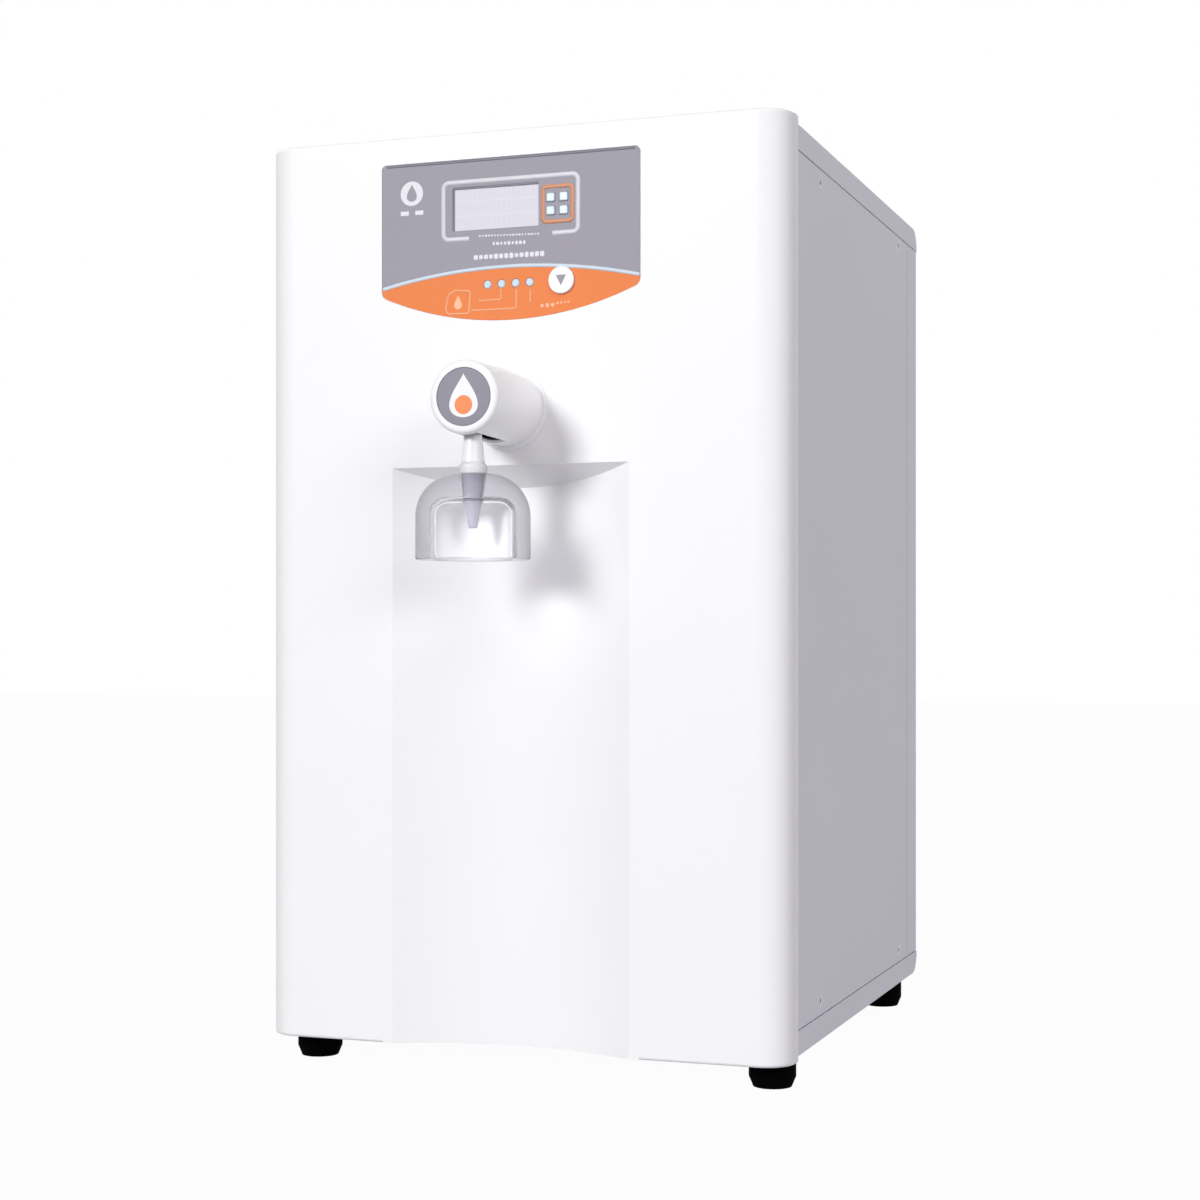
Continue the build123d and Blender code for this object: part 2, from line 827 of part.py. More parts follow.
# Tap lever: hub on the pivot pin, square arm in the head, tapered neck below the slot
neck_z = tap_z - head_front_radius
neck_end_z = neck_z - neck_length
collar_low_z = neck_end_z - collar_height
arm_low_z = tap_z - lever_arm_drop
with BuildPart() as tap_lever:
    with BuildSketch(facing_right(feature_x)):
        with Locations((tap_y, pivot_z)):
            Circle(lever_hub_radius)
    extrude(amount=lever_hub_length / 2, both=True)
    with BuildSketch(level(pivot_z)):
        with Locations((feature_x, tap_y)):
            Rectangle(lever_arm_width, lever_arm_depth)
    extrude(amount=-(pivot_z - arm_low_z))
    with BuildSketch(facing_right(feature_x)):
        with BuildLine():
            Polyline(
                (tap_y, arm_low_z),
                (tap_y + lever_arm_depth / 2, arm_low_z),
                (tap_y + neck_top_radius, neck_z),
                (tap_y + neck_low_radius, neck_end_z),
                (tap_y + neck_low_radius - spigot_step, neck_end_z),
                (tap_y + neck_low_radius - spigot_step, collar_low_z),
                (tap_y, collar_low_z),
                close=True,
            )
        make_face()
    revolve(axis=lever_axis)
    with BuildSketch(level(collar_low_z)):
        with Locations((feature_x, tap_y)):
            Circle(water_bore_radius)
    extrude(amount=pivot_z - collar_low_z - pivot_radius - water_bore_roof, mode=Mode.SUBTRACT)
    with BuildSketch(facing_right(feature_x)):
        with Locations((tap_y, pivot_z)):
            Circle(pivot_radius + pivot_clearance)
    extrude(amount=lever_hub_length, both=True, mode=Mode.SUBTRACT)
save(tap_lever.part, "tap_lever")

with BuildPart() as lever_switch:
    with BuildSketch(facing_front(switch_front_y)):
        with Locations((feature_x, shelf_z + switch_height / 2)):
            Rectangle(switch_width, switch_height)
    extrude(amount=-switch_length)
    with BuildSketch(facing_front(switch_front_y)):
        with Locations((feature_x, tap_z - switch_drop)):
            Circle(plunger_radius + plunger_clearance)
    extrude(amount=-plunger_bore_depth, mode=Mode.SUBTRACT)
save(lever_switch.part, "lever_switch")

with BuildPart() as switch_plunger:
    with BuildSketch(facing_front(switch_front_y + plunger_hold)):
        with Locations((feature_x, tap_z - switch_drop)):
            Circle(plunger_radius)
    extrude(amount=switch_front_y + plunger_hold - (tap_y + lever_arm_depth / 2 + plunger_gap))
    chamfer(switch_plunger.faces().sort_by(Axis.Y)[0].edges(), length=plunger_bevel)
save(switch_plunger.part, "switch_plunger")

# Return spring: a bent leaf that hangs from the right ear behind the lever's arm
leaf_x = feature_x + ear_inner_x - leaf_width - leaf_thickness
leaf_y = tap_y + lever_arm_depth / 2 + plunger_gap
with BuildPart() as return_spring:
    with BuildSketch(facing_right(leaf_x)):
        with BuildLine():
            Polyline(
                (leaf_y + leaf_lean, pivot_z + leaf_top),
                (leaf_y + leaf_lean, pivot_z + leaf_knee),
                (leaf_y, pivot_z - leaf_contact),
                (leaf_y + leaf_tail_lean, pivot_z - leaf_tail),
                (leaf_y + leaf_tail_lean + leaf_thickness, pivot_z - leaf_tail),
                (leaf_y + leaf_thickness, pivot_z - leaf_contact),
                (leaf_y + leaf_lean + leaf_thickness, pivot_z + leaf_knee),
                (leaf_y + leaf_lean + leaf_thickness, pivot_z + leaf_top),
                close=True,
            )
        make_face()
    extrude(amount=leaf_width)
    with BuildSketch(facing_right(feature_x + ear_inner_x - leaf_thickness)):
        with BuildLine():
            Polyline(
                (leaf_y + leaf_lean, pivot_z + leaf_top),
                (leaf_y + leaf_lean, pivot_z + leaf_knee),
                (leaf_y + leaf_tab, pivot_z + leaf_knee),
                (leaf_y + leaf_tab, pivot_z + leaf_top),
                close=True,
            )
        make_face()
    extrude(amount=leaf_thickness)
save(return_spring.part, "return_spring")

# Bell, its collar and the nozzle inside it
bell_top_z = collar_low_z
bell_bottom_z = bell_top_z - bell_height
bell_hole = neck_low_radius - spigot_step
with BuildPart() as bell_collar:
    with BuildSketch(facing_right(feature_x)):
        with BuildLine():
            Polyline(
                (tap_y + bell_hole, neck_end_z),
                (tap_y + neck_low_radius, neck_end_z),
                (tap_y + collar_radius, neck_end_z - collar_height / 2),
                (tap_y + collar_radius, collar_low_z),
                (tap_y + bell_hole, collar_low_z),
                close=True,
            )
        make_face()
    revolve(axis=lever_axis)
save(bell_collar.part, "bell_collar")

cavity_r = bell_radius - bell_wall
cavity_z = bell_top_z - bell_roof
nozzle_tip_z = bell_top_z - nozzle_length
nozzle_slope = (nozzle_radius - nozzle_tip_radius) / nozzle_length
nozzle_cavity_r = nozzle_radius - nozzle_slope * bell_roof
shoulder_r = bell_radius - bell_shoulder
with BuildPart() as dispensing_bell:
    with BuildSketch(facing_right(feature_x)):
        with BuildLine():
            Line((tap_y + nozzle_radius, bell_top_z), (tap_y + shoulder_r, bell_top_z))
            RadiusArc((tap_y + shoulder_r, bell_top_z), (tap_y + bell_radius, bell_top_z - bell_shoulder),
                      bell_shoulder)
            Polyline((tap_y + bell_radius, bell_top_z - bell_shoulder), (tap_y + bell_radius, bell_bottom_z),
                     (tap_y + cavity_r, bell_bottom_z), (tap_y + cavity_r, cavity_z - bell_corner))
            RadiusArc((tap_y + cavity_r, cavity_z - bell_corner), (tap_y + cavity_r - bell_corner, cavity_z),
                      -bell_corner)
            Polyline((tap_y + cavity_r - bell_corner, cavity_z), (tap_y + nozzle_cavity_r, cavity_z),
                     (tap_y + nozzle_radius, bell_top_z))
        make_face()
    revolve(axis=lever_axis)
save(dispensing_bell.part, "dispensing_bell")

with BuildPart() as outlet_nozzle:
    with BuildSketch(facing_right(feature_x)):
        with BuildLine():
            Polyline(
                (tap_y + water_bore_radius, bell_top_z),
                (tap_y + nozzle_radius, bell_top_z),
                (tap_y + nozzle_tip_radius, nozzle_tip_z),
                (tap_y + water_bore_radius, nozzle_tip_z),
                close=True,
            )
        make_face()
    revolve(axis=lever_axis)
save(outlet_nozzle.part, "outlet_nozzle")

# Cabinet covers, bent from sheet, with a rounded rear edge
foot_places = [
    (side * foot_x, y)
    for side in (-1, 1)
    for y in (cabinet_front + front_foot_inset, cabinet_rear - rear_foot_inset)
]


def cover_profile(low, high, rounded_end, inset):
    """The side outline of a cover, with its rear corner rounded at the top or at the bottom."""
    with BuildSketch() as outline:
        with Locations((cabinet_front, low)):
            Rectangle(cabinet_depth - inset, high - low, align=(Align.MIN, Align.MIN))
        corners = outline.vertices().group_by(Axis.X)[-1].sort_by(Axis.Y)
        fillet(corners[rounded_end], radius=rear_radius - inset)
    return outline.sketch


top_outside = cover_profile(cabinet_top - cover_height, cabinet_top, -1, 0)
top_inside = cover_profile(cabinet_top - cover_height, ceiling_z, -1, sheet)
base_outside = cover_profile(cabinet_bottom, cabinet_bottom + cover_height, 0, 0)
base_inside = cover_profile(floor_z, cabinet_bottom + cover_height, 0, sheet)
with BuildPart() as top_cover:
    with BuildSketch(facing_right(0)):
        add(top_outside)
    extrude(amount=cabinet_half, both=True)
    with BuildSketch(facing_right(0)):
        add(top_inside)
    extrude(amount=cabinet_half - sheet, both=True, mode=Mode.SUBTRACT)
save(top_cover.part, "top_cover")

with BuildPart() as base_tray:
    with BuildSketch(facing_right(0)):
        add(base_outside)
    extrude(amount=cabinet_half, both=True)
    with BuildSketch(facing_right(0)):
        add(base_inside)
    extrude(amount=cabinet_half - sheet, both=True, mode=Mode.SUBTRACT)
    with BuildSketch(level(cabinet_bottom)):
        with Locations(*foot_places):
            Circle(foot_screw_radius + moving_clearance)
    extrude(amount=sheet, mode=Mode.SUBTRACT)
    with BuildSketch(level(floor_z)):
        with Locations(*foot_places):
            Circle(foot_screw_radius + foot_bush_wall)
            Circle(foot_screw_radius, mode=Mode.SUBTRACT)
    extrude(amount=foot_bush)
save(base_tray.part, "base_tray")

# Side panels, screwed to the side frames
screw_head_run = screw_head_radius - screw_radius - screw_head_clearance
screw_head_angle = 2 * math.degrees(math.atan(screw_head_run / screw_head))
panel_front = cabinet_front + panel_gap
panel_rear = cabinet_rear - rear_return - panel_gap
side_screw_places = [
    (cabinet_front + side_screw_front, cabinet_top - side_screw_top_front),
    (cabinet_rear - side_screw_rear, cabinet_top - side_screw_top_rear),
    (cabinet_front + side_screw_front, cabinet_bottom + side_screw_low_front),
    (cabinet_rear - side_screw_rear, cabinet_bottom + side_screw_low_rear),
]
with BuildPart() as right_side_panel:
    with BuildSketch(facing_right(cabinet_half)):
        with Locations(((panel_front + panel_rear) / 2, (panel_bottom + panel_top) / 2)):
            Rectangle(panel_rear - panel_front, panel_top - panel_bottom)
    extrude(amount=-sheet)
    with Locations(*[Location((cabinet_half, y, z), (0, 90, 0)) for y, z in side_screw_places]):
        CounterSinkHole(screw_radius + moving_clearance, screw_head_radius, depth=sheet,
                        counter_sink_angle=screw_head_angle)
save(right_side_panel.part, "right_side_panel")

with BuildPart() as left_side_panel:
    mirror(right_side_panel.part, about=Plane.YZ)
save(left_side_panel.part, "left_side_panel")

with BuildPart() as side_screw:
    with BuildSketch(Plane.XZ):
        with BuildLine():
            Polyline((0, 0), (screw_head_radius - screw_head_clearance, 0), (screw_radius, -screw_head),
                     (screw_radius, -screw_length), (0, -screw_length), close=True)
        make_face()
    revolve(axis=Axis.Z)
    with BuildSketch(level(0)):
        Rectangle(cross_length, cross_width)
        Rectangle(cross_width, cross_length)
    extrude(amount=-cross_depth, mode=Mode.SUBTRACT)
side_screw_copies = [
    side_screw.part.moved(Location((side * cabinet_half, y, z), (0, side * 90, 0)))
    for side in (-1, 1)
    for y, z in side_screw_places
]
with BuildPart() as side_panel_screws:
    add(side_screw_copies)
save(side_panel_screws.part, "side_panel_screws")

# Chassis: a welded frame of a front plate, a ring behind each side panel and two rear angles
frame_front = cabinet_front + sheet
frame_rear = cabinet_rear - sheet
rear_inner_y = cabinet_rear - sheet
rear_screw_places = [
    (side * (cabinet_half - rear_screw_inset), z)
    for side in (-1, 1)
    for z in (panel_bottom + rear_screw_margin, (panel_bottom + panel_top) / 2,
              panel_top - rear_screw_margin)
]
with BuildPart() as side_ring:
    with BuildSketch(facing_right(frame_outer_x)) as ring:
        with Locations(((frame_front + frame_rear) / 2, (floor_z + ceiling_z) / 2)):
            Rectangle(frame_rear - frame_front, ceiling_z - floor_z)
        chamfer(ring.vertices().group_by(Axis.X)[-1], length=rear_radius)
        with Locations(((frame_front + frame_rear) / 2, (floor_z + ceiling_z) / 2)):
            Rectangle(frame_rear - frame_front - 2 * frame_post, ceiling_z - floor_z - 2 * frame_rail,
                      mode=Mode.SUBTRACT)
        with Locations(*side_screw_places):
            Circle(screw_radius, mode=Mode.SUBTRACT)
    extrude(amount=-sheet)
    with BuildSketch(level(panel_bottom)):
        with Locations((frame_outer_x - sheet, rear_inner_y)):
            Rectangle(rear_angle, sheet, align=Align.MAX)
    extrude(amount=panel_top - panel_bottom)
with BuildPart() as chassis:
    with BuildSketch(facing_front(cabinet_front + sheet)):
        with Locations((0, (floor_z + ceiling_z) / 2)):
            Rectangle(2 * frame_outer_x, ceiling_z - floor_z)
        with Locations((feature_x, board_z)):
            Rectangle(board_width - 2 * board_opening_margin, board_height - 2 * board_opening_margin,
                      mode=Mode.SUBTRACT)
        with Locations((feature_x, tap_z)):
            Circle(stem_radius + stem_room, mode=Mode.SUBTRACT)
        with Locations((feature_x, fascia_bottom + niche_top / 2)):
            RectangleRounded(niche_half_width * 2, niche_top * niche_opening_share, niche_opening_corner,
                             mode=Mode.SUBTRACT)
        with Locations(*fascia_boss_places):
            Circle(screw_radius + moving_clearance, mode=Mode.SUBTRACT)
    extrude(amount=sheet)
    add(side_ring.part)
    mirror(side_ring.part, about=Plane.YZ)
    with BuildSketch(facing_front(rear_inner_y)):
        with Locations(*rear_screw_places):
            Circle(screw_radius)
    extrude(amount=sheet, mode=Mode.SUBTRACT)
save(chassis.part, "chassis")

# Pan-head screws: the fascia's and the control board's from behind, the rear cover's from outside
with BuildPart() as pan_screws:
    for places, seat_y, radius, head, reach in (
        (fascia_boss_places, cabinet_front + sheet, screw_radius, screw_head_radius, screw_length),
        (rear_screw_places, cabinet_rear, screw_radius, screw_head_radius, screw_length),
        (board_boss_places, board_y + board_thickness, board_screw_radius, board_screw_head_radius,
         board_screw_length),
    ):
        with BuildSketch(facing_front(seat_y)):
            with Locations(*places):
                Circle(head)
        extrude(amount=-pan_head_share * head)
        with BuildSketch(facing_front(seat_y)):
            with Locations(*places):
                Circle(radius)
        extrude(amount=reach)
save(pan_screws.part, "pan_screws")

# Rear cover with its side returns, vents and holes for the connections
port_places = [(port_x + port_pitch * (i - 1), port_z) for i in range(3)]
inlet_body_width = socket_width + 2 * inlet_wall
inlet_body_height = socket_height + 2 * inlet_wall
rocker_opening = 2 * (rocker_half_length + rocker_end_play)
frame_body_width = rocker_width + 2 * (rocker_side_play + rocker_frame_wall)
frame_body_height = rocker_opening + 2 * rocker_frame_wall
with BuildPart() as rear_cover:
    with BuildSketch(level(panel_bottom)) as channel:
        with Locations((0, cabinet_rear - rear_return / 2)):
            Rectangle(2 * cabinet_half, rear_return)
        fillet(channel.vertices().group_by(Axis.Y)[-1], radius=rear_bend_radius)
        with Locations((0, rear_inner_y - rear_return / 2)):
            Rectangle(2 * frame_outer_x, rear_return, mode=Mode.SUBTRACT)
    extrude(amount=panel_top - panel_bottom)
    with BuildSketch(facing_front(cabinet_rear)):
        with Locations(*port_places):
            Circle(port_tail_radius + port_hole_clearance)
        with Locations((inlet_x, inlet_z)):
            Rectangle(inlet_body_width + 2 * inlet_hole_clearance,
                      inlet_body_height + 2 * inlet_hole_clearance)
        with Locations((rocker_x, rocker_z)):
            Rectangle(frame_body_width + 2 * rocker_hole_clearance,
                      frame_body_height + 2 * rocker_hole_clearance)
        with Locations((fuse_x, rocker_z)):
            Circle(fuse_radius - fuse_body_step + fuse_hole_clearance)
        with Locations(*rear_screw_places):
            Circle(screw_radius + moving_clearance)
        with Locations((-vent_x, vent_z), (vent_x, vent_z)):
            with GridLocations(0, vent_pitch, 1, vent_rows):
                Rectangle(vent_width, vent_slot)
    extrude(amount=sheet, mode=Mode.SUBTRACT)
save(rear_cover.part, "rear_cover")

# Rear ports for the feed water, the drain and the tank
port_names = ("feed_port", "tank_port", "drain_port")
for port_name, (x, z) in zip(port_names, port_places):
    with BuildPart() as port:
        with BuildSketch(facing_front(cabinet_rear)):
            with Locations((x, z)):
                RegularPolygon(port_hex / 2, 6, major_radius=False)
        extrude(amount=-port_flange)
        with BuildSketch(facing_front(cabinet_rear)):
            with Locations((x, z)):
                Circle(port_radius)
        extrude(amount=-port_reach)
        chamfer(port.faces().sort_by(Axis.Y)[-1].edges(), length=port_bevel)
        with BuildSketch(facing_front(cabinet_rear)):
            with Locations((x, z)):
                Circle(port_tail_radius)
        extrude(amount=port_tail)
        with BuildSketch(facing_front(cabinet_rear + port_reach)):
            with Locations((x, z)):
                Circle(port_bore_radius)
        extrude(amount=port_bore_depth, mode=Mode.SUBTRACT)
    save(port.part, port_name)

with BuildPart() as port_nuts:
    with BuildSketch(facing_front(rear_inner_y)):
        with Locations(*port_places):
            RegularPolygon(port_nut_flats / 2, 6, major_radius=False)
            Circle(port_tail_radius, mode=Mode.SUBTRACT)
    extrude(amount=port_nut_thickness)
save(port_nuts.part, "port_nuts")

# Mains inlet with its three pins
with BuildPart() as power_inlet:
    with BuildSketch(facing_front(cabinet_rear)):
        with Locations((inlet_x, inlet_z)):
            RectangleRounded(inlet_flange_width, inlet_flange_height, inlet_corner)
    extrude(amount=-inlet_flange)
    with BuildSketch(facing_front(cabinet_rear)):
        with Locations((inlet_x, inlet_z)):
            Rectangle(inlet_body_width, inlet_body_height)
    extrude(amount=inlet_body_depth)
    with BuildSketch(facing_front(cabinet_rear + inlet_flange)) as socket:
        with Locations((inlet_x, inlet_z)):
            Rectangle(socket_width, socket_height)
        chamfer(socket.vertices().group_by(Axis.Y)[-1], length=socket_chamfer)
    extrude(amount=socket_depth, mode=Mode.SUBTRACT)
save(power_inlet.part, "power_inlet")

socket_floor_y = cabinet_rear + inlet_flange - socket_depth
with BuildPart() as inlet_pins:
    with BuildSketch(facing_front(socket_floor_y)):
        with Locations((inlet_x - pin_pitch, inlet_z - pin_offset), (inlet_x, inlet_z + pin_offset),
                       (inlet_x + pin_pitch, inlet_z - pin_offset)):
            Rectangle(pin_width, pin_height)
    extrude(amount=-pin_length)
save(inlet_pins.part, "inlet_pins")

# Mains rocker in its frame
rocker_pivot_y = cabinet_rear - rocker_sink
frame_face_width = frame_body_width + 2 * rocker_face_rim_x
frame_face_height = frame_body_height + 2 * rocker_face_rim_z
with BuildPart() as rocker_frame:
    with BuildSketch(facing_front(cabinet_rear)):
        with Locations((rocker_x, rocker_z)):
            RectangleRounded(frame_face_width, frame_face_height, rocker_face_corner)
    extrude(amount=-rocker_face)
    with BuildSketch(facing_front(cabinet_rear)):
        with Locations((rocker_x, rocker_z)):
            Rectangle(frame_body_width, frame_body_height)
    extrude(amount=rocker_body_depth)
    with BuildSketch(facing_front(cabinet_rear + rocker_face)):
        with Locations((rocker_x, rocker_z)):
            Rectangle(rocker_width + 2 * rocker_side_play, rocker_opening)
    extrude(amount=rocker_face + rocker_body_depth - rocker_floor, mode=Mode.SUBTRACT)
    with BuildSketch(facing_right(rocker_x)):
        with Locations((rocker_pivot_y, rocker_z)):
            Circle(rocker_trunnion_radius + rocker_bearing_clearance)
    extrude(amount=rocker_width / 2 + rocker_trunnion + rocker_trunnion_clearance, both=True,
            mode=Mode.SUBTRACT)
save(rocker_frame.part, "rocker_frame")

with BuildPart() as power_rocker:
    with BuildSketch(facing_right(rocker_x)):
        with Locations(Location((rocker_pivot_y, rocker_z), -rocker_swing / 2)):
            Circle(rocker_hub_radius)
            Polygon((0, -rocker_hub_radius), (rocker_root, -rocker_half_length),
                    (rocker_rise, -rocker_half_length), (rocker_waist, 0),
                    (rocker_rise, rocker_half_length), (rocker_root, rocker_half_length),
                    (0, rocker_hub_radius), align=None)
    extrude(amount=rocker_width / 2, both=True)
    with BuildSketch(facing_right(rocker_x)):
        with Locations((rocker_pivot_y, rocker_z)):
            Circle(rocker_trunnion_radius)
    extrude(amount=rocker_width / 2 + rocker_trunnion, both=True)
save(power_rocker.part, "power_rocker")

with BuildPart() as fuse_holder:
    with BuildSketch(facing_front(cabinet_rear)):
        with Locations((fuse_x, rocker_z)):
            Circle(fuse_radius + fuse_rim)
    extrude(amount=-fuse_rim_thickness)
    with BuildSketch(facing_front(cabinet_rear)):
        with Locations((fuse_x, rocker_z)):
            Circle(fuse_radius - fuse_body_step)
    extrude(amount=fuse_body_length)
    with BuildSketch(facing_front(cabinet_rear + fuse_rim_thickness)):
        with Locations((fuse_x, rocker_z)):
            Circle(fuse_radius - fuse_cap_step)
    extrude(amount=-fuse_cap_length)
    with BuildSketch(facing_front(cabinet_rear + fuse_rim_thickness + fuse_cap_length)):
        with Locations((fuse_x, rocker_z)):
            Rectangle(fuse_slot_length, fuse_slot_width)
    extrude(amount=fuse_slot_depth, mode=Mode.SUBTRACT)
save(fuse_holder.part, "fuse_holder")

# Feet, with their screws and nuts
with BuildPart() as foot:
    with BuildSketch(facing_right(0)):
        with BuildLine():
            Polyline(
                (foot_screw_radius + moving_clearance, cabinet_bottom),
                (foot_radius, cabinet_bottom),
                (foot_radius, foot_land),
                (foot_toe_radius, 0),
                (foot_screw_head_radius + foot_screw_room, 0),
                (foot_screw_head_radius + foot_screw_room, foot_land),
                (foot_screw_radius + moving_clearance, foot_land),
                close=True,
            )
        make_face()
    revolve(axis=Axis.Z)
foot_copies = [foot.part.moved(Location((x, y, 0))) for x, y in foot_places]
with BuildPart() as feet:
    add(foot_copies)
save(feet.part, "feet")

foot_screw_top = floor_z + foot_bush + foot_screw_proud
with BuildPart() as foot_screws:
    with BuildSketch(level(foot_land)):
        with Locations(*foot_places):
            Circle(foot_screw_head_radius)
    extrude(amount=-foot_screw_head)
    with BuildSketch(level(foot_land)):
        with Locations(*foot_places):
            Circle(foot_screw_radius)
    extrude(amount=foot_screw_top - foot_land)
save(foot_screws.part, "foot_screws")

# Equipment plate: the upright partition, with a foot flange on the base tray
plate_front = cabinet_front + plate_front_inset
plate_rear = cabinet_rear - plate_rear_inset
with BuildPart() as equipment_plate:
    with BuildSketch(facing_right(plate_x)):
        with Locations(((plate_front + plate_rear) / 2, floor_z)):
            Rectangle(plate_rear - plate_front, ceiling_z - floor_z, align=(Align.CENTER, Align.MIN))
    extrude(amount=sheet)
    with BuildSketch(level(floor_z)):
        with Locations((plate_x + sheet, (plate_front + plate_rear) / 2)):
            Rectangle(plate_foot, plate_rear - plate_front, align=(Align.MIN, Align.CENTER))
    extrude(amount=sheet)
save(equipment_plate.part, "equipment_plate")

# Cartridge rack: a shelf with a hole for each cartridge, folded down along the partition
plate_right = plate_x + sheet
cartridge_places = [
    (cartridge_x, cabinet_front + cartridge_start + cartridge_cap_radius + cartridge_pitch * i)
    for i in range(cartridge_count)
]
rack_width = cartridge_x + cartridge_cap_radius + rack_margin - plate_right
rack_mid_y = (cartridge_places[0][1] + cartridge_places[-1][1]) / 2
with BuildPart() as cartridge_rack:
    with BuildSketch(level(rack_z)):
        with Locations((plate_right, rack_mid_y)):
            Rectangle(rack_width, rack_depth, align=(Align.MIN, Align.CENTER))
        with Locations(*cartridge_places):
            Circle(cartridge_radius + rack_clearance, mode=Mode.SUBTRACT)
    extrude(amount=-rack_sheet)
    with BuildSketch(facing_right(plate_right)):
        with Locations((rack_mid_y, rack_z)):
            Rectangle(rack_depth, rack_flange, align=(Align.CENTER, Align.MAX))
    extrude(amount=rack_sheet)
save(cartridge_rack.part, "cartridge_rack")

cartridge_names = ("sediment_cartridge", "carbon_cartridge", "deioniser_first", "deioniser_second")
for cartridge_name, (x, y) in zip(cartridge_names, cartridge_places):
    with BuildPart() as cartridge:
        with BuildSketch(facing_right(x)):
            with BuildLine():
                Polyline(
                    (y, rack_z - cartridge_height),
                    (y + cartridge_radius - cartridge_foot, rack_z - cartridge_height),
                    (y + cartridge_radius, rack_z - cartridge_height + cartridge_foot),
                    (y + cartridge_radius, rack_z),
                    (y + cartridge_cap_radius, rack_z),
                    (y + cartridge_cap_radius, rack_z + cartridge_cap - cap_step),
                    (y + cartridge_cap_radius - cap_slope, rack_z + cartridge_cap),
                    (y, rack_z + cartridge_cap),
                    close=True,
                )
            make_face()
        revolve(axis=Axis((x, y, 0), (0, 0, 1)))
        with BuildSketch(level(rack_z + cartridge_cap)):
            with Locations((x - cap_port_x, y), (x + cap_port_x, y)):
                Circle(cap_port_radius)
        extrude(amount=cap_port_height)
    save(cartridge.part, cartridge_name)

# Membrane housing and ultraviolet housing, upright in clips on the partition's other side
membrane_y = cabinet_rear - membrane_inset
uv_y = membrane_y - housing_pitch
housing_z = floor_z + housing_lift


def upright_housing(name, y, radius, length, cap):
    cap_radius = radius + housing_cap_step
    with BuildPart() as housing:
        with BuildSketch(facing_right(housing_x)):
            with BuildLine():
                Polyline(
                    (y, housing_z),
                    (y + cap_radius, housing_z),
                    (y + cap_radius, housing_z + cap),
                    (y + radius, housing_z + cap),
                    (y + radius, housing_z + length - cap),
                    (y + cap_radius, housing_z + length - cap),
                    (y + cap_radius, housing_z + length),
                    (y, housing_z + length),
                    close=True,
                )
            make_face()
        revolve(axis=Axis((housing_x, y, 0), (0, 0, 1)))
        with BuildSketch(level(housing_z + length)):
            with Locations((housing_x, y)):
                Circle(port_tail_radius)
        extrude(amount=housing_nipple)
        with BuildSketch(level(housing_z)):
            with Locations((housing_x, y)):
                Circle(port_tail_radius)
        extrude(amount=-housing_nipple)
    save(housing.part, name)


upright_housing("membrane_housing", membrane_y, membrane_radius, membrane_length, membrane_cap)
upright_housing("ultraviolet_housing", uv_y, uv_radius, uv_length, uv_cap)

clip_heights = (housing_z + clip_low, housing_z + clip_high)
with BuildPart() as housing_clips:
    for z in clip_heights:
        for y, radius in ((membrane_y, membrane_radius), (uv_y, uv_radius)):
            with BuildSketch(level(z)):
                with Locations((housing_x, y)):
                    Circle(radius + clip_wall)
                    Circle(radius + clip_clearance, mode=Mode.SUBTRACT)
                with Locations((housing_x - radius, y)):
                    Rectangle(radius, 2 * radius * clip_open_share, mode=Mode.SUBTRACT)
                with Locations((plate_x, y)):
                    Rectangle(plate_x - housing_x - radius - clip_clearance, clip_foot,
                              align=(Align.MAX, Align.CENTER))
            extrude(amount=clip_height)
save(housing_clips.part, "housing_clips")

# Booster pump: motor, head and a bent foot, on the base tray
pump_y = cabinet_front + pump_inset
pump_z = floor_z + pump_rise
pump_rear_y = pump_y + pump_head_length + pump_motor_length
pump_foot_y = pump_rear_y - pump_strap_inset
with BuildPart() as booster_pump:
    with BuildSketch(facing_front(pump_y)):
        with Locations((pump_x, pump_z)):
            RectangleRounded(pump_head, pump_head, pump_head_corner)
    extrude(amount=-pump_head_length)
    with BuildSketch(facing_front(pump_y + pump_head_length)):
        with Locations((pump_x, pump_z)):
            Circle(pump_motor_radius)
    extrude(amount=-pump_motor_length)
    with BuildSketch(facing_front(pump_rear_y)):
        with Locations((pump_x, pump_z)):
            Circle(pump_end_radius)
    extrude(amount=-pump_end)
    with BuildSketch(facing_front(pump_y)):
        with Locations((pump_x - pump_port_x, pump_z + pump_port_rise),
                       (pump_x + pump_port_x, pump_z + pump_port_rise)):
            Circle(port_tail_radius)
    extrude(amount=pump_nipple)
    with BuildSketch(facing_front(pump_foot_y)):
        with Locations((pump_x, pump_z)):
            Circle(pump_strap_radius)
            Rectangle(pump_leg_width, pump_z - floor_z, align=(Align.CENTER, Align.MAX))
    extrude(amount=pump_strap)
    with BuildSketch(level(floor_z)):
        with Locations((pump_x, pump_foot_y - pump_strap / 2)):
            Rectangle(pump_foot_width, pump_strap)
    extrude(amount=pump_foot)
    with BuildSketch(facing_front(pump_y + pump_block_inset)):
        with Locations((pump_x, floor_z)):
            Rectangle(pump_leg_width, pump_z - pump_head / 2 - floor_z, align=(Align.CENTER, Align.MIN))
    extrude(amount=pump_block)
save(booster_pump.part, "booster_pump")

# Power supply and power board on the partition, valves below the control space
supply_z = floor_z + supply_rise
supply_y = cabinet_front + supply_inset
with BuildPart() as power_supply:
    with BuildSketch(facing_right(plate_x)):
        with Locations((supply_y, supply_z)):
            Rectangle(supply_length, supply_height, align=(Align.MIN, Align.MIN))
    extrude(amount=-supply_depth)
    with BuildSketch(facing_right(plate_x - supply_depth)):
        with Locations((supply_y + supply_length / 2, supply_z + supply_height / 2)):
            with GridLocations(supply_groove_pitch, 0, supply_grooves, 1):
                Rectangle(supply_groove_width, supply_groove_height)
    extrude(amount=supply_groove_depth, mode=Mode.SUBTRACT)
save(power_supply.part, "power_supply")

